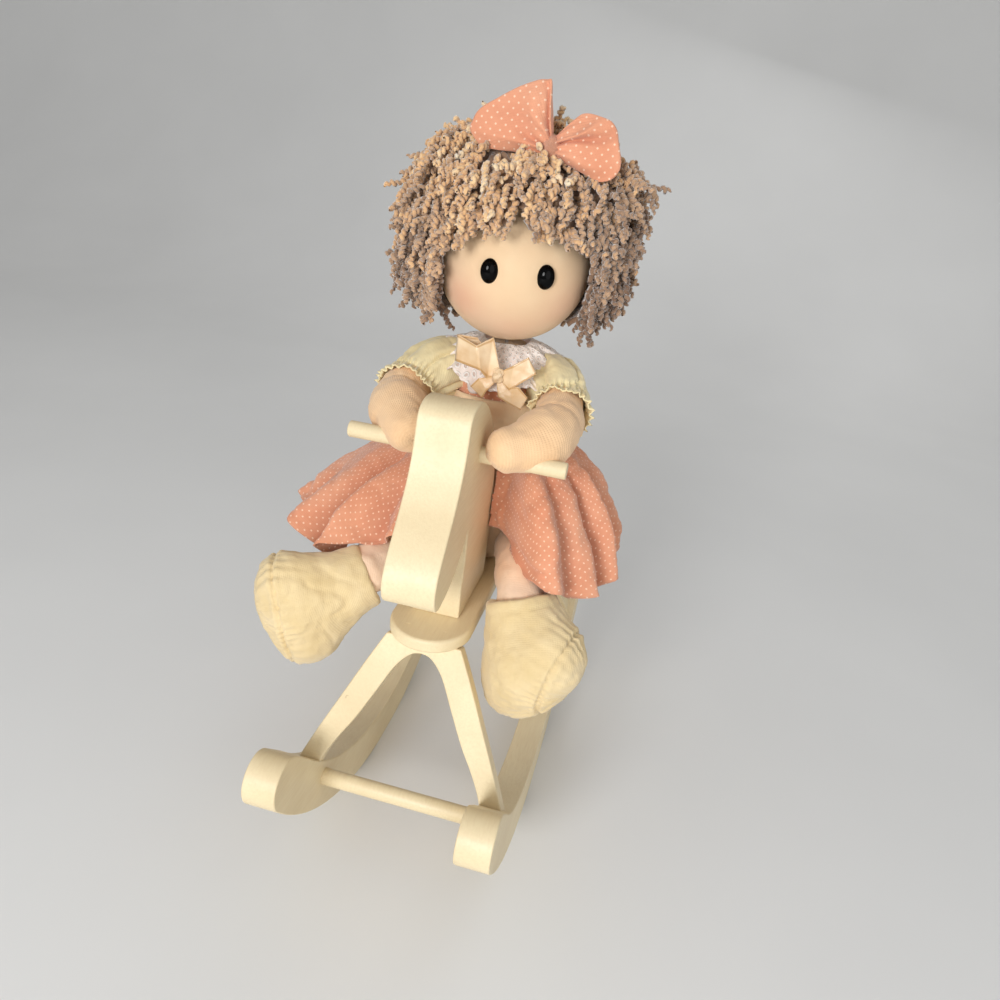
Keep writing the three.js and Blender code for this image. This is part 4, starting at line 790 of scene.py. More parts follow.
def torso_band(name, low, length, rows, out, around, thickness):
    """Cloth round the torso from a low edge up, standing out from it by out(angle, row)."""
    ups, *sizes = zip(*TORSO_SHARES)
    heights = [low + length * i / rows for i in range(rows + 1)]
    rings = []
    for i, height in enumerate(heights):
        wide, deep = (float(np.interp(height / TORSO["height"], ups, size)) for size in sizes)
        rings.append(torso_ring(height, wide, deep, BAND_SIDES, lambda a: out(a, i)))
    return thicken(loft(name, rings, uv=lambda i, j: (around * j / BAND_SIDES, heights[i] * MM)), thickness)


def build_bodice():
    def out(angle, row):
        return 1.3 + 0.5 * cos(17 * angle + row / 5) * (1 - row / 22)

    piece = torso_band("dress_bodice", 96, 41, 16, out, tau * 30 * MM, 0.9)
    dress(piece, "root", DRESS, "dress_cloth", "bodice")


def build_sash():
    def out(angle, row):
        return 3.0 + 0.6 * cos(2.2 * pi * row / 10) + 0.3 * cos(9 * angle + row)

    piece = torso_band("waist_band", 94, 18, 10, out, 0.19, 1.0)
    dress(piece, "root", PEACH, "muslin_cloth", "waist_sash")


# Legs and boots

LEG_PATHS = {
    LEFT: [(-17, 19, 175), (-27, -12, 178), (-37, -42, 177), (-46, -72, 175)],
    RIGHT: [(25, 19, 175), (33, -8, 178), (40, -34, 177), (48.5, -60, 168)],
}
LEG_RADII = [14.5, 15, 15, 14.5]
# Each boot in millimetres: its ankle, sole, toe and heel with the radii of ankle, sole, heel and toe, the
# direction across its seam and how far out the seam lies, and how far the tucks reach from it.
BOOTS = {
    LEFT: {
        "name": "left", "ankle": (-46.5, -71, 170.5), "sole": (-76, -91, 156.5),
        "toe": (-82.5, -95.5, 173), "heel": (-70.5, -90, 137.5), "radii": (15.5, 20.5, 16, 14),
        "seam": ((-0.93, -0.3, -0.2), 7.0), "tuck": 11.0,
    },
    RIGHT: {
        "name": "right", "ankle": (48, -60, 169.5), "sole": (60, -73.5, 140.8),
        "toe": (71, -80, 153), "heel": (52.5, -73, 125), "radii": (17, 24, 18, 19),
        "seam": ((0.93, -0.22, -0.2), 16.5), "tuck": 12.0,
    },
}


def build_legs_and_boots():
    for side, name in SIDES:
        rings = limb_rings([at(*p) for p in LEG_PATHS[side]], LEG_RADII, 40, 48)
        cloth = cloth_map(0.094, 0.12, 48, 40 + 2 * DOME_ROWS)
        leg = loft("stuffed_leg_" + name, rings, caps=(True, True), uv=cloth)
        wrinkle(leg, 1.2, 15, 11 + side)
        wrinkle(leg, 0.5, 6, 12, (1, 1, 2.5))
        dress(leg, "root", SOCK, "sock_cloth", "leg_" + name)
        build_boot(BOOTS[side])


def along_spheres(stops, radii, count):
    """Balls along a bent line, for a swollen form: rows of x, y, z and radius in millimetres."""
    stops = [Vector(p) for p in stops]
    return np.array([(*spline(stops, i / count), eased(radii, i / count)) for i in range(count + 1)])


def swollen(balls, middle, axis, columns, rows, soft, cut):
    """Rings on the smooth skin round a set of balls, seen from its middle, with the direction of each point.
    cut(points) is above 0 past a flat end."""
    side = axis.orthogonal().normalized()
    up = axis.cross(side)
    a = np.linspace(0, tau, columns, endpoint=False)
    rings = []
    for i in range(rows + 1):
        polar = pi * min(max(i / rows, 0.006), 0.994)
        d = (
            np.outer(np.full(columns, cos(polar)), axis)
            + np.outer(sin(polar) * np.cos(a), side)
            + np.outer(sin(polar) * np.sin(a), up)
        )
        near, far = np.full(columns, 4.0), np.full(columns, 110.0)
        for _ in range(22):
            mid = (near + far) / 2
            p = middle + d * mid[:, None]
            gaps = np.linalg.norm(p[:, None, :] - balls[None, :, :3], axis=2) - balls[None, :, 3]
            skin = -soft * np.log(np.exp(-gaps / soft).sum(axis=1))
            inside = np.maximum(skin, cut(p)) < 0
            near, far = np.where(inside, mid, near), np.where(inside, far, mid)
        rings.append((middle + d * near[:, None], d))
    return rings


# What is sewn into a boot, in millimetres: how deep its seam lies between two ridges, the height and number of
# its tucks, its hem and the stitches under it, and how far the opening is sunk.
STITCHING = {"seam": 1.7, "ridge": 0.8, "tuck": 0.75, "tucks": 34, "hem": 0.55, "stitches": 0.7, "sunk": 3.2}


def hump(off, width, power=2):
    """A row of shares that are 1 where off is 0 and fall to 0 beyond the width."""
    return np.exp(-((np.abs(off) / width) ** power))


def build_boot(boot):
    columns, rows, soft, rim = 160, 120, 1.7, 5.0
    sewn = STITCHING
    ankle, sole, toe, heel = (np.array(boot[key]) for key in ("ankle", "sole", "toe", "heel"))
    at_ankle, at_sole, at_heel, at_toe = boot["radii"]
    balls = np.vstack([
        along_spheres([ankle, sole], [at_ankle, at_sole], 8),
        along_spheres([ankle, heel], [at_ankle, at_heel], 6),
        along_spheres([ankle, toe], [at_ankle, at_toe], 6),
        along_spheres([heel, sole, toe], [at_heel, at_sole, at_toe], 8),
    ])
    axis = Vector(ankle - sole).normalized()
    across, offset = boot["seam"]
    across = Vector(across).normalized()
    flat_side = across.orthogonal().normalized()
    flat_up = across.cross(flat_side)
    rings = swollen(balls, sole, axis, columns, rows, soft, lambda p: (p - ankle) @ np.array(axis) - rim)
    axis, across, flat_side, flat_up = (np.array(v) for v in (axis, across, flat_side, flat_up))
    made = []
    for points, outward in rings:
        high = (points - ankle) @ axis
        wall = np.linalg.norm((points - ankle) - np.outer(high, axis), axis=1)
        off = (points - sole) @ across - offset
        turn = np.arctan2((points - sole) @ flat_up, (points - sole) @ flat_side)
        jitter = np.array([noise.noise(Vector((cos(t) * 2, sin(t) * 2, offset))) for t in turn])
        seam = sewn["ridge"] * hump(np.abs(off) - 2.4, 1.6) - sewn["seam"] * hump(off, 0.8)
        tucks = sewn["tuck"] * np.cos(sewn["tucks"] * turn + 5 * jitter) * hump(off, boot["tuck"], 1.5)
        tucks *= 0.35 + np.abs(jitter) * 1.6
        hem = sewn["hem"] * hump(high - 2.2, 2.6, 4) - sewn["stitches"] * hump(high + 1.2, 0.6)
        on_rim = high > rim - 0.05
        dip = np.where(on_rim, -sewn["sunk"] * np.clip((at_ankle - 2 - wall) / 1.6, 0, 1), 0)
        push = np.where(on_rim, 0, seam + tucks + hem)
        made.append([at(*p) for p in points + outward * push[:, None] + np.outer(dip, axis)])
    name = boot["name"]
    piece = loft("muslin_boot_" + name, made, caps=(True, True), uv=cloth_map(0.17, 0.12, columns, rows))
    wrinkle(piece, 1.3, 24, 21 + len(name))
    wrinkle(piece, 0.3, 7, 3)
    crease(piece, 1.0, 17, 4)
    dress(piece, "root", BOOT_MUSLIN, "muslin_cloth", "boot_" + name)


# Clothes

# The sleeves in millimetres: the arm's radius at the shoulder and how much it grows, the puff's radius and its
# folds. "drawn" is how far along the cuff is drawn in, and "span" how far down the arm each sleeve comes, as shares.
SLEEVE = {"base": 8.5, "grows": 8, "puff": 17.5, "folds": 3.0, "drawn": 0.86, "span": {LEFT: 0.57, RIGHT: 0.49}}


def sleeve_radius(t, angle, side):
    """The sleeve's radius at a share of its length: gathered folds, a tucked cuff and a ruffle beyond it."""
    drawn = SLEEVE["drawn"]
    base = SLEEVE["base"] + SLEEVE["grows"] * t
    swell = sin(pi * min(1.0, t / drawn))
    puff = swell**0.55 if t < drawn else 0.0
    frill = max(0.0, (t - drawn) / (1 - drawn))
    jitter = 2.6 * noise.noise(Vector((cos(angle) * 1.5, sin(angle) * 1.5, side * 3 + t * 0.7)))
    folds = SLEEVE["folds"] * (abs(cos(4.5 * angle + jitter)) ** 0.8 - 0.6) * swell**0.5
    tuck = 0.9 * cos(34 * angle + 2 * jitter) * exp(-(((t - drawn) / 0.07) ** 2))
    ruffle = frill * (1.8 + 1.3 * cos(19 * angle + 5 * jitter) + 0.5 * cos(43 * angle + 3 * jitter))
    return base + (SLEEVE["puff"] - base) * puff + folds + tuck + ruffle


def build_sleeves():
    steps, sides = 64, 260
    for side, name in SIDES:
        arm = [at(*p) for p in ARM_PATHS[side]]
        whole = even_path([arm[0].lerp(arm[1], -0.3), *arm], 100)
        path = [spline(whole, SLEEVE["span"][side] * i / steps) for i in range(steps + 1)]
        rings = [
            [p + (across * cos(a) + up * sin(a)) * sleeve_radius(i / steps, a, side) * MM for a in turns(sides)]
            for i, (p, _, across, up) in enumerate(frames(path))
        ]
        piece = loft("puff_sleeve_" + name, rings, uv=cloth_map(0.19, 0.055, sides, steps))
        wrinkle(piece, 0.8, 17, 31 + side)
        crease(piece, 1.0, 20, 3 + side)
        thicken(piece, 0.7)
        dress(piece, "root", MUSLIN, "muslin_cloth", "sleeve_" + name)


# The skirt in millimetres: its waist's height over the seat, how far it stands off the legs and where its stitched
# hem lies, as a share of the way down.
SKIRT = {"waist": 92, "columns": 440, "rows": 72, "off_legs": 2.2, "hem": 0.95}

# The hem all round: its angle in degrees, its reach from the doll's middle and its height over the seat.
SKIRT_HEM = [
    (0, 84, 14), (20, 77, 12), (45, 74, 8), (90, 74, 7), (135, 82, 7), (160, 92, 10), (180, 100, 18), (190, 110, 24),
    (200, 119, 32), (208, 124, 35), (213, 124.8, 29.7), (218, 122.3, 24.8), (222, 120.1, 19.4), (225, 119, 18.5),
    (228, 116.5, 21.9), (233, 110, 28.1), (239, 103.9, 34.4), (245, 98, 39), (251, 90, 41), (262, 60, 37),
    (285, 44, 36), (293, 46, 36), (295.5, 54, 34.5), (297, 72, 31), (298.5, 89, 28.5), (301, 97, 26.5), (305, 99, 23),
    (313, 94, 17), (317, 98, 16), (325, 93, 9), (335, 92, 8), (345, 93, 12), (353, 88, 15),
]

# Each fold of the skirt: where it lies round the waist in degrees, how wide and how deep it is, where it starts
# down the cloth as a share, and how far it drifts round by the hem in degrees.
SKIRT_FOLD_SHARES = [
    (172, 7, 10.0, 0.12, -4), (185, 6, -10.0, 0.2, 2), (197, 5, 5.0, 0.1, 2), (206, 4, -5.0, 0.4, 2),
    (214, 4, 5.0, 0.2, 3), (223, 3.6, -18.0, 0.2, 1), (231, 4, 12.0, 0.25, -2), (240, 4, -8.0, 0.3, 2),
    (249, 5, 6.0, 0.25, 0),
    (305, 4, 6.0, 0.2, 3), (313, 4, -8.0, 0.2, 4), (322, 5, 8.0, 0.12, 5),
    (332, 4, -9.0, 0.2, 4), (341, 5, 8.0, 0.1, 2), (352, 6, -8.0, 0.25, -1), (6, 7, 9.0, 0.15, -3),
    (22, 6, -6.0, 0.2, -3), (40, 8, 8.0, 0.15, 0), (58, 6, -7.0, 0.2, 0), (74, 7, 8.0, 0.2, 2),
    (92, 6, -7.0, 0.15, 3), (108, 7, 8.0, 0.15, 0), (124, 6, -7.0, 0.2, -3), (140, 7, 8.0, 0.15, 0),
    (156, 6, -6.0, 0.2, 0),
]


def hem_at(turn):
    """The hem's reach and height at an angle in degrees."""
    angles, reaches, heights = zip(*SKIRT_HEM)
    around = [turn - 1.5, turn, turn, turn + 1.5]
    return [float(np.interp(around, angles, values, period=360).mean()) for values in (reaches, heights)]


def skirt_point(angle, share, reach, low):
    """A point of the skirt in millimetres, and how far out its fold stands."""
    out, ahead = cos(angle), sin(angle)
    turn = degrees(angle) % 360
    fold = 0.0
    for centre, width, depth, start, drift in SKIRT_FOLD_SHARES:
        off = (turn - centre - drift * share + 180) % 360 - 180
        if abs(off) < 4 * width:
            grown = min(1.0, max(0.0, (share - start) / (1 - start)))
            fold += depth * exp(-((off / width) ** 2)) * grown**0.8
    wobble = noise.noise(Vector((out * 2.2, ahead * 2.2, share * 1.2)))
    fold += 3.5 * noise.noise(Vector((out * 6, ahead * 6, share * 2.2))) * share + 2.5 * wobble * share
    gather = 0.9 * cos(60 * angle + 3 * wobble) * max(0.0, 1 - share * 2.6)
    x, y = (
        (half + (reach - half) * share**0.8 + fold + gather) * way
        for half, way in ((TORSO["width"] / 2 * 0.93, out), (TORSO["depth"] / 2 * 0.93, ahead))
    )
    bell = 0.55 - 0.4 * exp(-(((turn - 208) / 30) ** 2))
    fall = share + (share**3 - share) * bell
    z = SKIRT["waist"] + (low - SKIRT["waist"]) * fall + fold * 0.6 * share
    return DOLL["x"] + x, DOLL["y"] + y, SEAT["top"] + 0.9 + z, fold + 2 * gather


def pushed_off(points, balls, gap):
    """Points in millimetres moved out of the balls, so that cloth lies on what is under it."""
    points = points.copy()
    for _ in range(4):
        for x, y, z, radius in balls:
            away = points - np.array((x, y, z))
            far = np.linalg.norm(away, axis=1)
            near = far < radius + gap
            points[near] += unit(away[near]) * (radius + gap - far[near])[:, None]
    return points


def build_skirt():
    columns, rows = SKIRT["columns"], SKIRT["rows"]
    hems = [hem_at(360 * j / columns) for j in range(columns)]
    angles = turns(columns)
    made = np.array([skirt_point(angles[j], i / rows, *hems[j]) for i in range(rows + 1) for j in range(columns)])
    points, folds = made[:, :3], made[:, 3]
    balls = []
    for side in (LEFT, RIGHT):
        boot = BOOTS[side]
        balls += [
            *along_spheres(LEG_PATHS[side], LEG_RADII, 40),
            *along_spheres([boot["ankle"], boot["sole"]], boot["radii"][:2], 12),
        ]
    points = pushed_off(points, balls, SKIRT["off_legs"])
    rings = [[at(*p) for p in points[i * columns:(i + 1) * columns]] for i in range(rows + 1)]

    # The cloth's flat coordinates go by its true length, with a whole number of dots round it.
    grid = points.reshape(rows + 1, columns, 3) * MM
    drop = np.vstack([np.zeros(columns), np.linalg.norm(np.diff(grid, axis=0), axis=2).cumsum(axis=0)])
    low_ring = grid[rows * 4 // 5]
    steps = np.linalg.norm(np.roll(low_ring, -1, axis=0) - low_ring, axis=1)
    around = np.concatenate([[0], steps.cumsum()])
    around *= round(around[-1] / DOT_PITCH) * DOT_PITCH / around[-1]
    piece = loft("dress_skirt", rings, uv=lambda i, j: (around[j], drop[i][j % columns]))
    # Painted shade: the cloth is painted a little darker all over, and darker still the further a fold lies in.
    store(piece, "fold", np.clip(0.15 - folds / 11, 0, 1))

    normals = [v.normal.copy() for v in piece.data.vertices]
    for k, (v, n) in enumerate(zip(piece.data.vertices, normals)):
        v.co -= n * 0.8 * exp(-((((k // columns) / rows - SKIRT["hem"]) / 0.009) ** 2)) * MM
    wrinkle(piece, 1.2, 17, 6)
    crease(piece, 3.2, 26, 5)
    crease(piece, 0.9, 14, 2)

    # The skirt is open in front, where the horse's neck stands.
    behind = (HORSE["front"] + HORSE["length"]) * MM
    half = (HORSE["thickness"] / 2 + 1) * MM

    def in_neck(place):
        return abs(place.x - CENTRE_X) < half and place.y < behind

    delete_faces(piece, in_neck)
    thicken(piece, 0.9)
    dress(piece, "root", DRESS, "dress_cloth", "skirt")


# The collar in millimetres: the heights of its top and hem over the seat, and the neck's radius.
COLLAR = {"top": 144, "hem": 129, "neck": 14, "columns": 288, "rows": 30}


def collar_point(angle, share):
    """A point of the collar from the doll's foot in millimetres: rippled, with a scalloped hem, low in front."""
    out, ahead = cos(angle), sin(angle)
    jitter = noise.noise(Vector((out * 2, ahead * 2, 4)))
    ripple = (2.4 * cos(12 * angle + 2.5 * jitter) + 0.9 * cos(27 * angle + 1)) * share
    scallop = 1.8 * abs(cos(24 * angle)) * max(0.0, share - 0.88) / 0.12
    front = max(0.0, -ahead)
    wide, lift = (31, 5) if out < 0 else (26, 2)
    low = COLLAR["hem"] - 6 * front**2 - 4 * front**8 + lift * out * out
    z = COLLAR["top"] + (low - COLLAR["top"]) * share**1.4 + ripple
    neck = COLLAR["neck"] + scallop
    return Vector(((neck + wide * share) * out, (neck + 21 * share) * ahead, z))


def build_collar():
    centre = at(DOLL["x"], DOLL["y"], DOLL["foot"])
    columns, rows = COLLAR["columns"], COLLAR["rows"]
    rings = [[centre + collar_point(a, i / rows) * MM for a in turns(columns)] for i in range(rows + 1)]
    piece = loft("lace_neck_collar", rings, uv=cloth_map(0.2, 0.027, columns, rows))
    wrinkle(piece, 0.8, 7, 2)
    thicken(piece, 0.8)
    dress(piece, "root", LACE, "lace_cloth", "lace_collar")


def ribbon(name, rails, along=10, across=16):
    """A flat ribbon with a sharp bend at each rail, which is a line across it, and its width and length in metres."""
    rings, length = [], 0.0
    for (a, b), (c, d) in zip(rails, rails[1:]):
        length += ((c + d) / 2 - (a + b) / 2).length
        ends = [(a.lerp(c, i / along), b.lerp(d, i / along)) for i in range(along)]
        rings += [[p.lerp(q, k / across) for k in range(across + 1)] for p, q in ends]
    a, b = rails[-1]
    rings.append([a.lerp(b, k / across) for k in range(across + 1)])
    piece = loft(name, rings, closed=False, uv=cloth_map(0.015, 0.05, across, len(rings)))
    edge = [0.9 if k % (across + 1) in (1, across - 1) else 0.0 for k in range(len(piece.data.vertices))]
    store(piece, "edge", edge)
    return piece, sum(f.area for f in piece.data.polygons) / length, length


# The middle of the collar bow, and each of its ribbons as the two ends of each line across it, both from there.
COLLAR_KNOT = (9.5, -17.5, 289)
COLLAR_BOW_RAILS = {
    "loop_left": [
        ((1, -2.5, 3.5), (1, -2.5, -1.5)), ((-4.8, -1.5, 21.6), (-5.6, -3.5, -2.4)),
        ((-12.4, -8.5, 17), (-8.6, -8.5, 3.2)), ((-25.9, -2.5, 20), (-25.6, -2.5, 4.5)),
        ((-15, 2, 19), (-14, 2, 5)), ((1, 0.5, 3), (1, 0.5, -1)),
    ],
    "loop_right": [
        ((1, -2.5, 3), (1.5, -2.5, -2)), ((8.5, -4.5, 8.3), (7.9, -4.5, -6.5)), ((16.5, -2.5, 14.1), (22.2, -2.5, 5.6)),
        ((10, 1.5, 9), (12, 1.5, 0)), ((1, 0.5, 2), (1, 0.5, -1)),
    ],
    "tail_left": [((1, -3, -1), (-2, -3, 0)), ((-5, -4.5, -9), (-10.5, -4.5, -2.5)), ((-7, -4, -14), (-15, -4, -8))],
    "tail_right": [
        ((2, -3, -1), (0, -3, -4)), ((6.5, -4, -5.5), (2, -4, -11.5)), ((13, -5, -3), (9, -4.5, -14.5)),
        ((18.9, -3, -9), (15.5, -3, -17)),
    ],
}


def build_collar_bow():
    knot = Vector(COLLAR_KNOT)
    for name, rails in COLLAR_BOW_RAILS.items():
        lines = [[at(*(knot + Vector(p))) for p in rail] for rail in rails]
        piece, width, length = ribbon("satin_bow_" + name, lines)
        wrinkle(piece, 0.3, 9, 2)
        dress(thicken(piece, 0.4), "root", SATIN, "satin_ribbon")
    middle = ball("satin_bow_knot", at(*(knot + Vector((0.5, -3, 0.5)))), (3.6, 3.4, 4.2))
    wrinkle(middle, 1.3, 3, 2)
    dress(middle, "root", SATIN, "satin_ribbon", "collar_bow")


# Hair

# The hair in millimetres: its outer shape, the crown that it falls from, each curl's thread with the pitch of its
# turns, and how low it hangs.
HAIR = {
    "rise": 16, "across": 66, "deep": 61, "tall": 60, "crown": (0.0, 0.22, 0.975),
    "curl": 0.9, "kink": 0.75, "thread": 1.08, "pitch": 3.0, "step": 2.2, "hem": -49,
    "sides": 5, "rings_per_turn": 6, "off_head": 2.4, "underlayer": 3,
}
# Where the hair stands out further, by what share and in which direction.
HAIR_FULLER_SHARES = [
    (0.15, (0.82, 0, 0.57)), (0.05, (-0.75, 0, 0.66)), (0.09, (-0.8, 0, -0.6)), (0.01, (0.8, 0, -0.6)),
]

# Each layer of curls: how far out its roots stand as a share, how many curls it has, how much they stand
# out from the head at least and at most, and their least and greatest length in millimetres.
HAIR_LAYER_SHARES = [
    (0.87, 1150, 0.0, 0.6, 12, 22), (0.72, 800, 0.0, 0.6, 12, 24), (0.5, 350, 0.0, 0.5, 14, 26),
    (0.8, 260, 0.8, 1.8, 11, 18),
]


def hair_shell(direction, share):
    """A point at a share of the way from the head to the hair's outer shape. The fringe lies closer."""
    low = HEAD_CENTRE + direction * (HEAD["radius"] + 1) * MM
    full = 1 + sum(more * exp(-((direction - Vector(way)).length / 0.45) ** 2) for more, way in HAIR_FULLER_SHARES)
    fringe = min(1.0, max(0.0, -direction.y - 0.45) * 2) * min(1.0, max(0.0, 0.8 - direction.z) * 3)
    reach = Vector([HAIR[key] * c for key, c in zip(("across", "deep", "tall"), direction)])
    reach.z += HAIR["rise"]
    return low.lerp(HEAD_CENTRE + reach * full * MM, share * (1 - 0.3 * fringe))


# The face, which the hair leaves free, in millimetres from the middle of the head: the fringe's height, how much
# lower it is at each side, and the gap in it with its height, place and width.
FACE = {"fringe": 21, "sides": 10, "half_width": 36, "gap": 9, "gap_x": -3, "gap_width": 4.5, "front": -6, "reach": 41}


def in_face(point, extra):
    """Whether a point lies in front of the face and below the fringe."""
    q = from_face(point)
    tip = FACE["fringe"] - FACE["sides"] * (q.x / FACE["half_width"]) ** 2 + extra
    tip += FACE["gap"] * exp(-(((q.x - FACE["gap_x"]) / FACE["gap_width"]) ** 2))
    return q.y < FACE["front"] and abs(q.x) < FACE["reach"] and q.z < tip


def in_bow(point):
    """Whether a point lies in the hair bow or close before it."""
    q = (point - at(*HAIR_BOW["knot"])) / MM
    return -11 < q.y < 8 and (hypot(q.x + 21, q.z - 15) < 17 or hypot(q.x - 22, q.z - 4) < 14)


def strand_path(rng, direction, layer):
    """The path of one curl, which falls away from the crown, and the direction across it, if it isn't cut off."""
    share, _, low_lift, high_lift, shortest, longest = layer
    extra = rng.uniform(-4, 4)
    p = hair_shell(direction, share + rng.uniform(-0.1, 0.08))
    if in_face(p, extra + 4) or in_bow(p):
        return None
    outward = Vector([c / HAIR[key] for key, c in zip(("across", "deep", "tall"), direction)]).normalized()
    crown = Vector(HAIR["crown"])
    down = outward * outward.dot(crown) - crown
    if down.length <= 0.2:
        down = Vector((rng.uniform(-1, 1), rng.uniform(-1, 1), 0))
    down.normalize()
    swing = outward.cross(down)
    heading = (down + outward * rng.uniform(low_lift, high_lift) + swing * rng.uniform(-0.7, 0.7)).normalized()
    length = rng.uniform(shortest, longest)
    closest = (HEAD["radius"] + HAIR["off_head"]) * MM
    points = [p]
    while len(points) * HAIR["step"] < length:
        shake = Vector([rng.uniform(-0.28, 0.28) for _ in range(3)])
        heading = (heading + Vector((0, 0, -0.08)) + shake).normalized()
        p = p + heading * HAIR["step"] * MM
        away = p - HEAD_CENTRE
        if away.length < closest:
            p = HEAD_CENTRE + away.normalized() * closest
        if in_face(p, extra) or in_bow(p) or p.z < HEAD_CENTRE.z + HAIR["hem"] * MM:
            break
        points.append(p)
    return (points, swing) if len(points) > 3 else None


def rows_along(values, places):
    """What lies at fractional places of a row of points."""
    low = np.clip(places.astype(int), 0, len(values) - 2)
    share = (places - low)[:, None]
    return values[low] * (1 - share) + values[low + 1] * share


def unit(rows):
    return rows / np.maximum(np.linalg.norm(rows, axis=1), 1e-9)[:, None]


def uneven(rng, places):
    """A smooth random line from -1 to 1 with a turn at each whole number, read at the places."""
    knots = rng.uniform(-1, 1, int(places[-1]) + 3)
    low = places.astype(int)
    share = places - low
    share = share * share * (3 - 2 * share)
    return knots[low] * (1 - share) + knots[low + 1] * share


def across_path(path, swing):
    """The sideways and upward directions at each point of a path."""
    side = unit(np.cross(unit(np.gradient(path, axis=0)), swing))
    return side, np.cross(side, unit(np.gradient(path, axis=0)))


def curl(points, swing, tone, rng, parts=40):
    """A crimped yarn along a path, as a tube with kinks: its points, faces and tones."""
    sides, kink = HAIR["sides"], HAIR["kink"]
    fine = np.array([spline(points, i / parts) for i in range(parts + 1)]) / MM
    count = (len(points) - 1) * HAIR["step"] / HAIR["pitch"]
    rings = int(count * HAIR["rings_per_turn"])
    t = np.linspace(0, 1, rings + 1)
    middle = rows_along(fine, t * parts)
    side, up = across_path(middle, np.array(swing))
    loose = uneven(rng, t * count * 1.6)
    angle = rng.uniform(0, 6.28) + rng.choice((-1, 1)) * tau * count * t + 1.2 * uneven(rng, t * count)
    tip = np.minimum(1, 0.45 + (1 - t) * 5)
    across = (HAIR["curl"] * np.cos(angle) + kink * uneven(rng, t * count * 1.9)) * tip
    upward = (HAIR["curl"] * np.sin(angle) + kink * uneven(rng, t * count * 1.9)) * tip
    centre = middle + side * across[:, None] + up * upward[:, None]
    side, up = across_path(centre, np.array(swing) + 0.01)
    radius = HAIR["thread"] * (1 + 0.3 * loose) * np.minimum(1, 0.45 + (1 - t) * 8)
    turn = np.linspace(0, tau, sides, endpoint=False)[None, :, None]
    ring = side[:, None] * np.cos(turn) + up[:, None] * np.sin(turn)
    made = (centre[:, None] + ring * radius[:, None, None]).reshape(-1, 3) * MM
    paler = 0.1 * loose + 0.35 * np.maximum(0, t - 0.6)
    low = np.arange(rings)[:, None] * sides
    j = np.arange(sides)[None]
    k = (j + 1) % sides
    faces = np.stack([low + j, low + k, low + sides + k, low + sides + j], axis=2).reshape(-1, 4)
    return made, faces, np.clip(tone + np.repeat(paler, sides), 0, 1)


def sphere_directions(count):
    """Even directions all round, by the golden angle."""
    golden = pi * (3 - sqrt(5))
    for i in range(count):
        z = 1 - 2 * (i + 0.5) / count
        r = sqrt(1 - z * z)
        yield Vector((r * cos(golden * i), r * sin(golden * i), z))


def build_underlayer():
    """The knobbly cap under the curls, which is open over the face."""
    rings = []
    for ring in direction_rings(260, 130, 0.78):
        rings.append([])
        for d in ring:
            q = FACE_TURN.inverted() @ d
            front = min(1.0, max(0.0, 0.35 - q.y)) * min(1.0, max(0.0, 1.15 - q.z))
            knobs = 0.06 * noise.noise(d * 9) + 0.09 * noise.noise(d * 22)
            rings[-1].append(hair_shell(d, 0.68 - 0.3 * front + knobs))
    cap = loft("hair_underlayer", rings, caps=(True, False))
    delete_faces(cap, lambda place: in_face(place, 3))
    # Painted shade: the cap is given a dark tone, for the shade in the gaps between the curls.
    store_from(cap, "tone", lambda p: 0.16 + 0.25 * noise.noise(p * 230))
    dress(thicken(cap, HAIR["underlayer"]), "head", YARN, "yarn")


def build_hair():
    build_underlayer()
    rng, shakes = random.Random(11), np.random.default_rng(11)
    points, faces, tones, total = [], [], [], 0
    for layer in HAIR_LAYER_SHARES:
        for direction in sphere_directions(layer[1]):
            if direction.z < -0.6:
                continue
            d = (direction + Vector([rng.uniform(-0.09, 0.09) for _ in range(3)])).normalized()
            found = strand_path(rng, d, layer)
            if not found:
                continue
            # Painted light and shade: curls on top of the head get a paler tone, and curls at its sides a darker one.
            golden = 0.26 * d.z - 0.06 * d.x - 0.26 * abs(d.x)
            made, sides, shades = curl(*found, 0.5 + golden + rng.gauss(0, 0.09), shakes)
            points.append(made)
            faces.append(sides + total)
            tones.append(shades)
            total += len(made)
    piece = finish_mesh("hair_curls", np.concatenate(points).tolist(), np.concatenate(faces).tolist())
    store(piece, "tone", np.concatenate(tones))
    dress(piece, "head", YARN, "yarn", "hair")


# The hair bow's knot, its thickness and half the width that its cloth is gathered to, in millimetres.
HAIR_BOW = {"knot": (23.7, -21.3, 409.8), "thickness": 12, "gathered": 4, "rows": 44, "columns": 120}
# Each loop of the hair bow: its far edge from the knot in millimetres, and its creases as their place across,
# width, depth in millimetres and reach along.
HAIR_BOW_LOOPS = {
    "left": {
        "edge": [
            (-35, -4), (-41.5, 3), (-41, 8), (-37, 14), (-24, 22.5), (-11, 28.6), (-6, 29.6), (-3.8, 29.4), (-2.8, 24),
        ],
        "creases": [(-0.6, 0.16, 2.0, 1.2), (-0.2, 0.12, -3.0, 1.0), (0.22, 0.1, 4.2, 1.15), (0.44, 0.09, -5.0, 1.1)],
    },
    "right": {
        "edge": [(26, -12.5), (32, -10.5), (35.2, -4.5), (33, 5), (30, 12.5), (25, 16), (14, 17), (8, 12)],
        "creases": [(-0.5, 0.2, 2.4, 1.2), (0.1, 0.1, -6.0, 1.3), (0.32, 0.11, 4.0, 1.2), (0.7, 0.1, -1.8, 0.8)],
    },
}


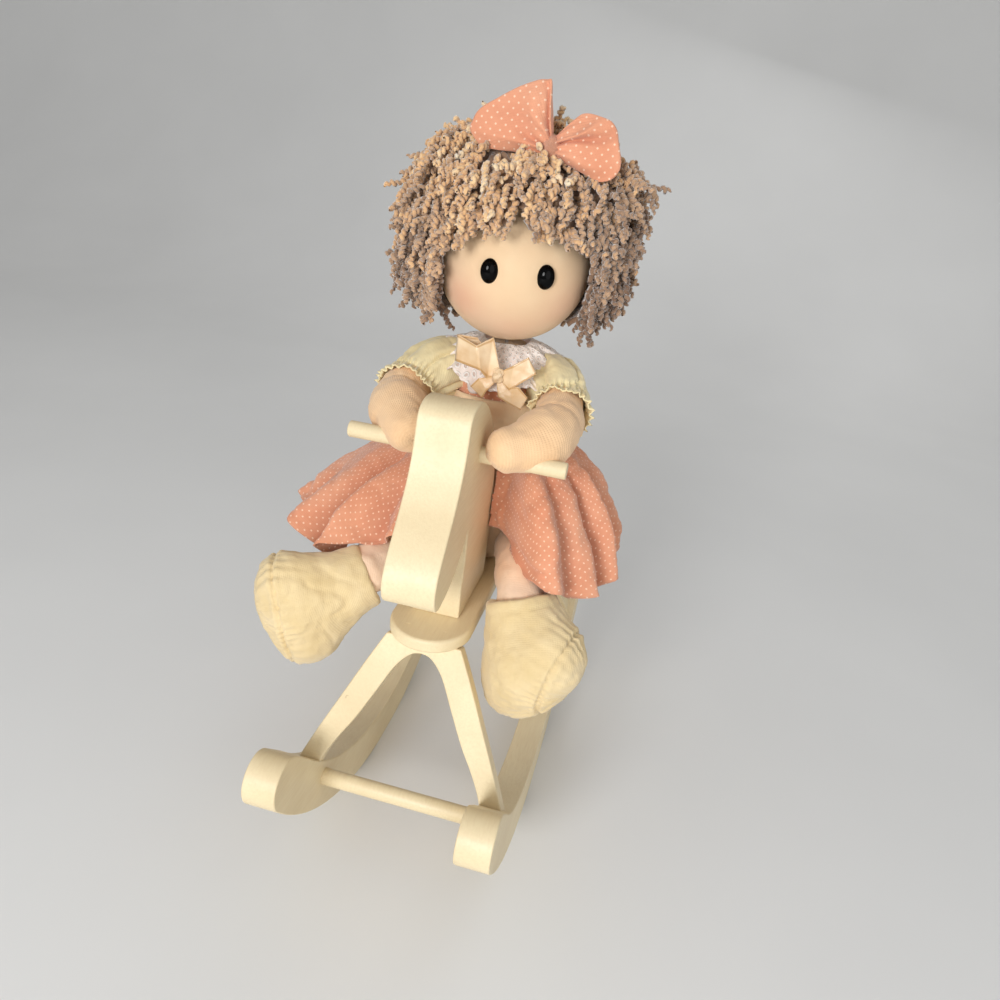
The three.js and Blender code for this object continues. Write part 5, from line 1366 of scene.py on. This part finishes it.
def bow_point(edge, creases, t, angle, closing):
    """A point of a loop of the hair bow from its knot in millimetres, and how far out its fold stands.
    t runs from the knot to the far edge, where a closing ring joins the two faces."""
    v = cos(angle)
    far = spline(edge, (v + 1) / 2)
    x, z = Vector((0, HAIR_BOW["gathered"] * v)).lerp(far, t + 0.012 * closing)
    swell = 0.0 if closing else (0.3 + 0.7 * sin(pi * t**0.75)) * (1 - 0.35 * t)
    fold = 0.0
    for place, width, height, reach in creases:
        fade = max(0.0, 1 - t / reach) ** 0.7 * min(1, t * 6)
        bend = 0.1 * sin(5 * t + place * 9)
        fold += height * exp(-(((v - place - bend) / width) ** 2)) * fade
    depth = HAIR_BOW["thickness"] / 2 * swell * sin(angle) + fold + 0.6 * cos(16 * v) * (1 - t) ** 3
    depth += 2.2 * noise.noise(Vector((x / 14, z / 14, 2))) * t
    return x, -depth - 2 * t, z, fold


def build_hair_bow():
    knot = at(*HAIR_BOW["knot"])
    rows, columns = HAIR_BOW["rows"], HAIR_BOW["columns"]
    for name, loop in HAIR_BOW_LOOPS.items():
        edge = [Vector(p) for p in loop["edge"]]
        grid = [
            [bow_point(edge, loop["creases"], min(1.0, i / rows), a, i > rows) for a in turns(columns)]
            for i in range(rows + 2)
        ]

        def cloth(i, j):
            x, _, z, _ = grid[i][j % columns]
            return x * MM, z * MM

        rings = [[knot + Vector(p[:3]) * MM for p in ring] for ring in grid]
        piece = loft("hair_bow_loop_" + name, rings, caps=(True, False), uv=cloth)
        # Painted shade in the creases: the further back a crease lies, the darker the cloth is painted there.
        store(piece, "fold", [min(1.0, max(0.0, -p[3] / 5)) for ring in grid for p in ring] + [0.0])
        with opened(piece.data) as work:
            bmesh.ops.remove_doubles(work, verts=work.verts, dist=0.02 * MM)
        wrinkle(piece, 0.2, 8, 9)
        dress(piece, "head", DRESS, "dress_cloth")
    middle = ball("hair_bow_knot", knot, (5, 6.5, 6.5), 32, 20)
    wrinkle(middle, 0.8, 4, 5)
    dress(middle, "head", DRESS, "dress_cloth", "hair_bow")


# Hidden pieces keep their solids


def finish_solids():
    finishes = {"steel": STEEL, "brass": BRASS, "bare_wood": BEECH, "washer_plastic": MOULDED}
    for part in frame["record"]["subparts"]:
        # The heads of the leg screws are under the seat's paint.
        painted_over = part["node"].startswith("leg_screw")
        material = WOOD if painted_over else finishes.get(part["material_slot"])
        if material:
            materials = frame["nodes"][part["node"]].data.materials
            materials.clear()
            materials.append(material)


# Floor, light and camera


# The floor in metres: its front edge, where it bends up into the backdrop and with what radius, the backdrop's
# height and half its width.
FLOOR = {"front": -2.5, "bend": 1.0, "radius": 0.9, "height": 4.0, "half_width": 5.0}


def build_stage():
    bend, radius = FLOOR["bend"], FLOOR["radius"]
    profile = [(FLOOR["front"], 0.0), (bend, 0.0)]
    profile += [(bend + radius * sin(a), radius - radius * cos(a)) for a in [pi / 2 * i / 16 for i in range(1, 17)]]
    profile += [(bend + radius, FLOOR["height"])]
    rings = [[Vector((side * FLOOR["half_width"], y, z)) for side in (LEFT, RIGHT)] for y, z in profile]
    floor = loft("floor", rings, closed=False)
    s = Shader("floor_paper", srgb(0.9, 0.9, 0.9), 0.85, specular=0.2)
    s.paint(s.ramp(s.noise(3.0), (0.3, srgb(0.885, 0.885, 0.88)), (0.7, srgb(0.905, 0.905, 0.9))))
    floor.data.materials.append(s.material)


# Each lamp: its place, size and power. All are aimed at the middle of the object.
LAMPS = {
    "key": ((-0.16, -1.3, 0.58), 0.45, 12), "fill": ((0.9, -1.1, 0.5), 1.2, 4.5),
    "back": ((0.3, 1.3, 1.3), 1.6, 4.5),
}
MIDDLE = Vector((0, 0, 0.24))
WORLD_STRENGTH = 0.42


def build_light():
    for name, (place, size, power) in LAMPS.items():
        data = bpy.data.lights.new(name, "AREA")
        data.shape = "DISK"
        data.size = size
        data.energy = power
        lamp = bpy.data.objects.new(name, data)
        lamp.location = place
        lamp.rotation_euler = (MIDDLE - Vector(place)).to_track_quat("-Z", "Y").to_euler()
        bpy.context.scene.collection.objects.link(lamp)
    world = bpy.data.worlds.new("studio")
    world.use_nodes = True
    background = world.node_tree.nodes["Background"].inputs
    background["Color"].default_value = (1, 1, 1, 1)
    background["Strength"].default_value = WORLD_STRENGTH
    bpy.context.scene.world = world


CAMERA = {"place": (102.27, -449.85, 417.56), "lens": 28.8, "sensor": 36}
CAMERA_RIGHT = Vector((0.96438, 0.23886, 0.11367))
CAMERA_UP = Vector((-0.20209, 0.38798, 0.89924))


def build_camera():
    data = bpy.data.cameras.new("camera")
    data.lens = CAMERA["lens"]
    data.sensor_width = CAMERA["sensor"]
    data.clip_start = 0.01
    camera = bpy.data.objects.new("camera", data)
    back = CAMERA_RIGHT.cross(CAMERA_UP).normalized()
    up = back.cross(CAMERA_RIGHT).normalized()
    turn = Matrix((CAMERA_RIGHT.normalized(), up, back)).transposed().to_4x4()
    camera.matrix_world = Matrix.Translation(at(*CAMERA["place"])) @ turn
    bpy.context.scene.collection.objects.link(camera)
    bpy.context.scene.camera = camera


build_camera()
build_rockers()
build_horse_head()
build_seat()
build_legs()
build_bars()
build_head()
build_arms()
build_torso()
build_bodice()
build_sash()
build_legs_and_boots()
build_sleeves()
build_skirt()
build_collar()
build_collar_bow()
build_hair()
build_hair_bow()
finish_solids()
build_stage()
build_light()
bpy.context.scene.view_settings.view_transform = "Standard"
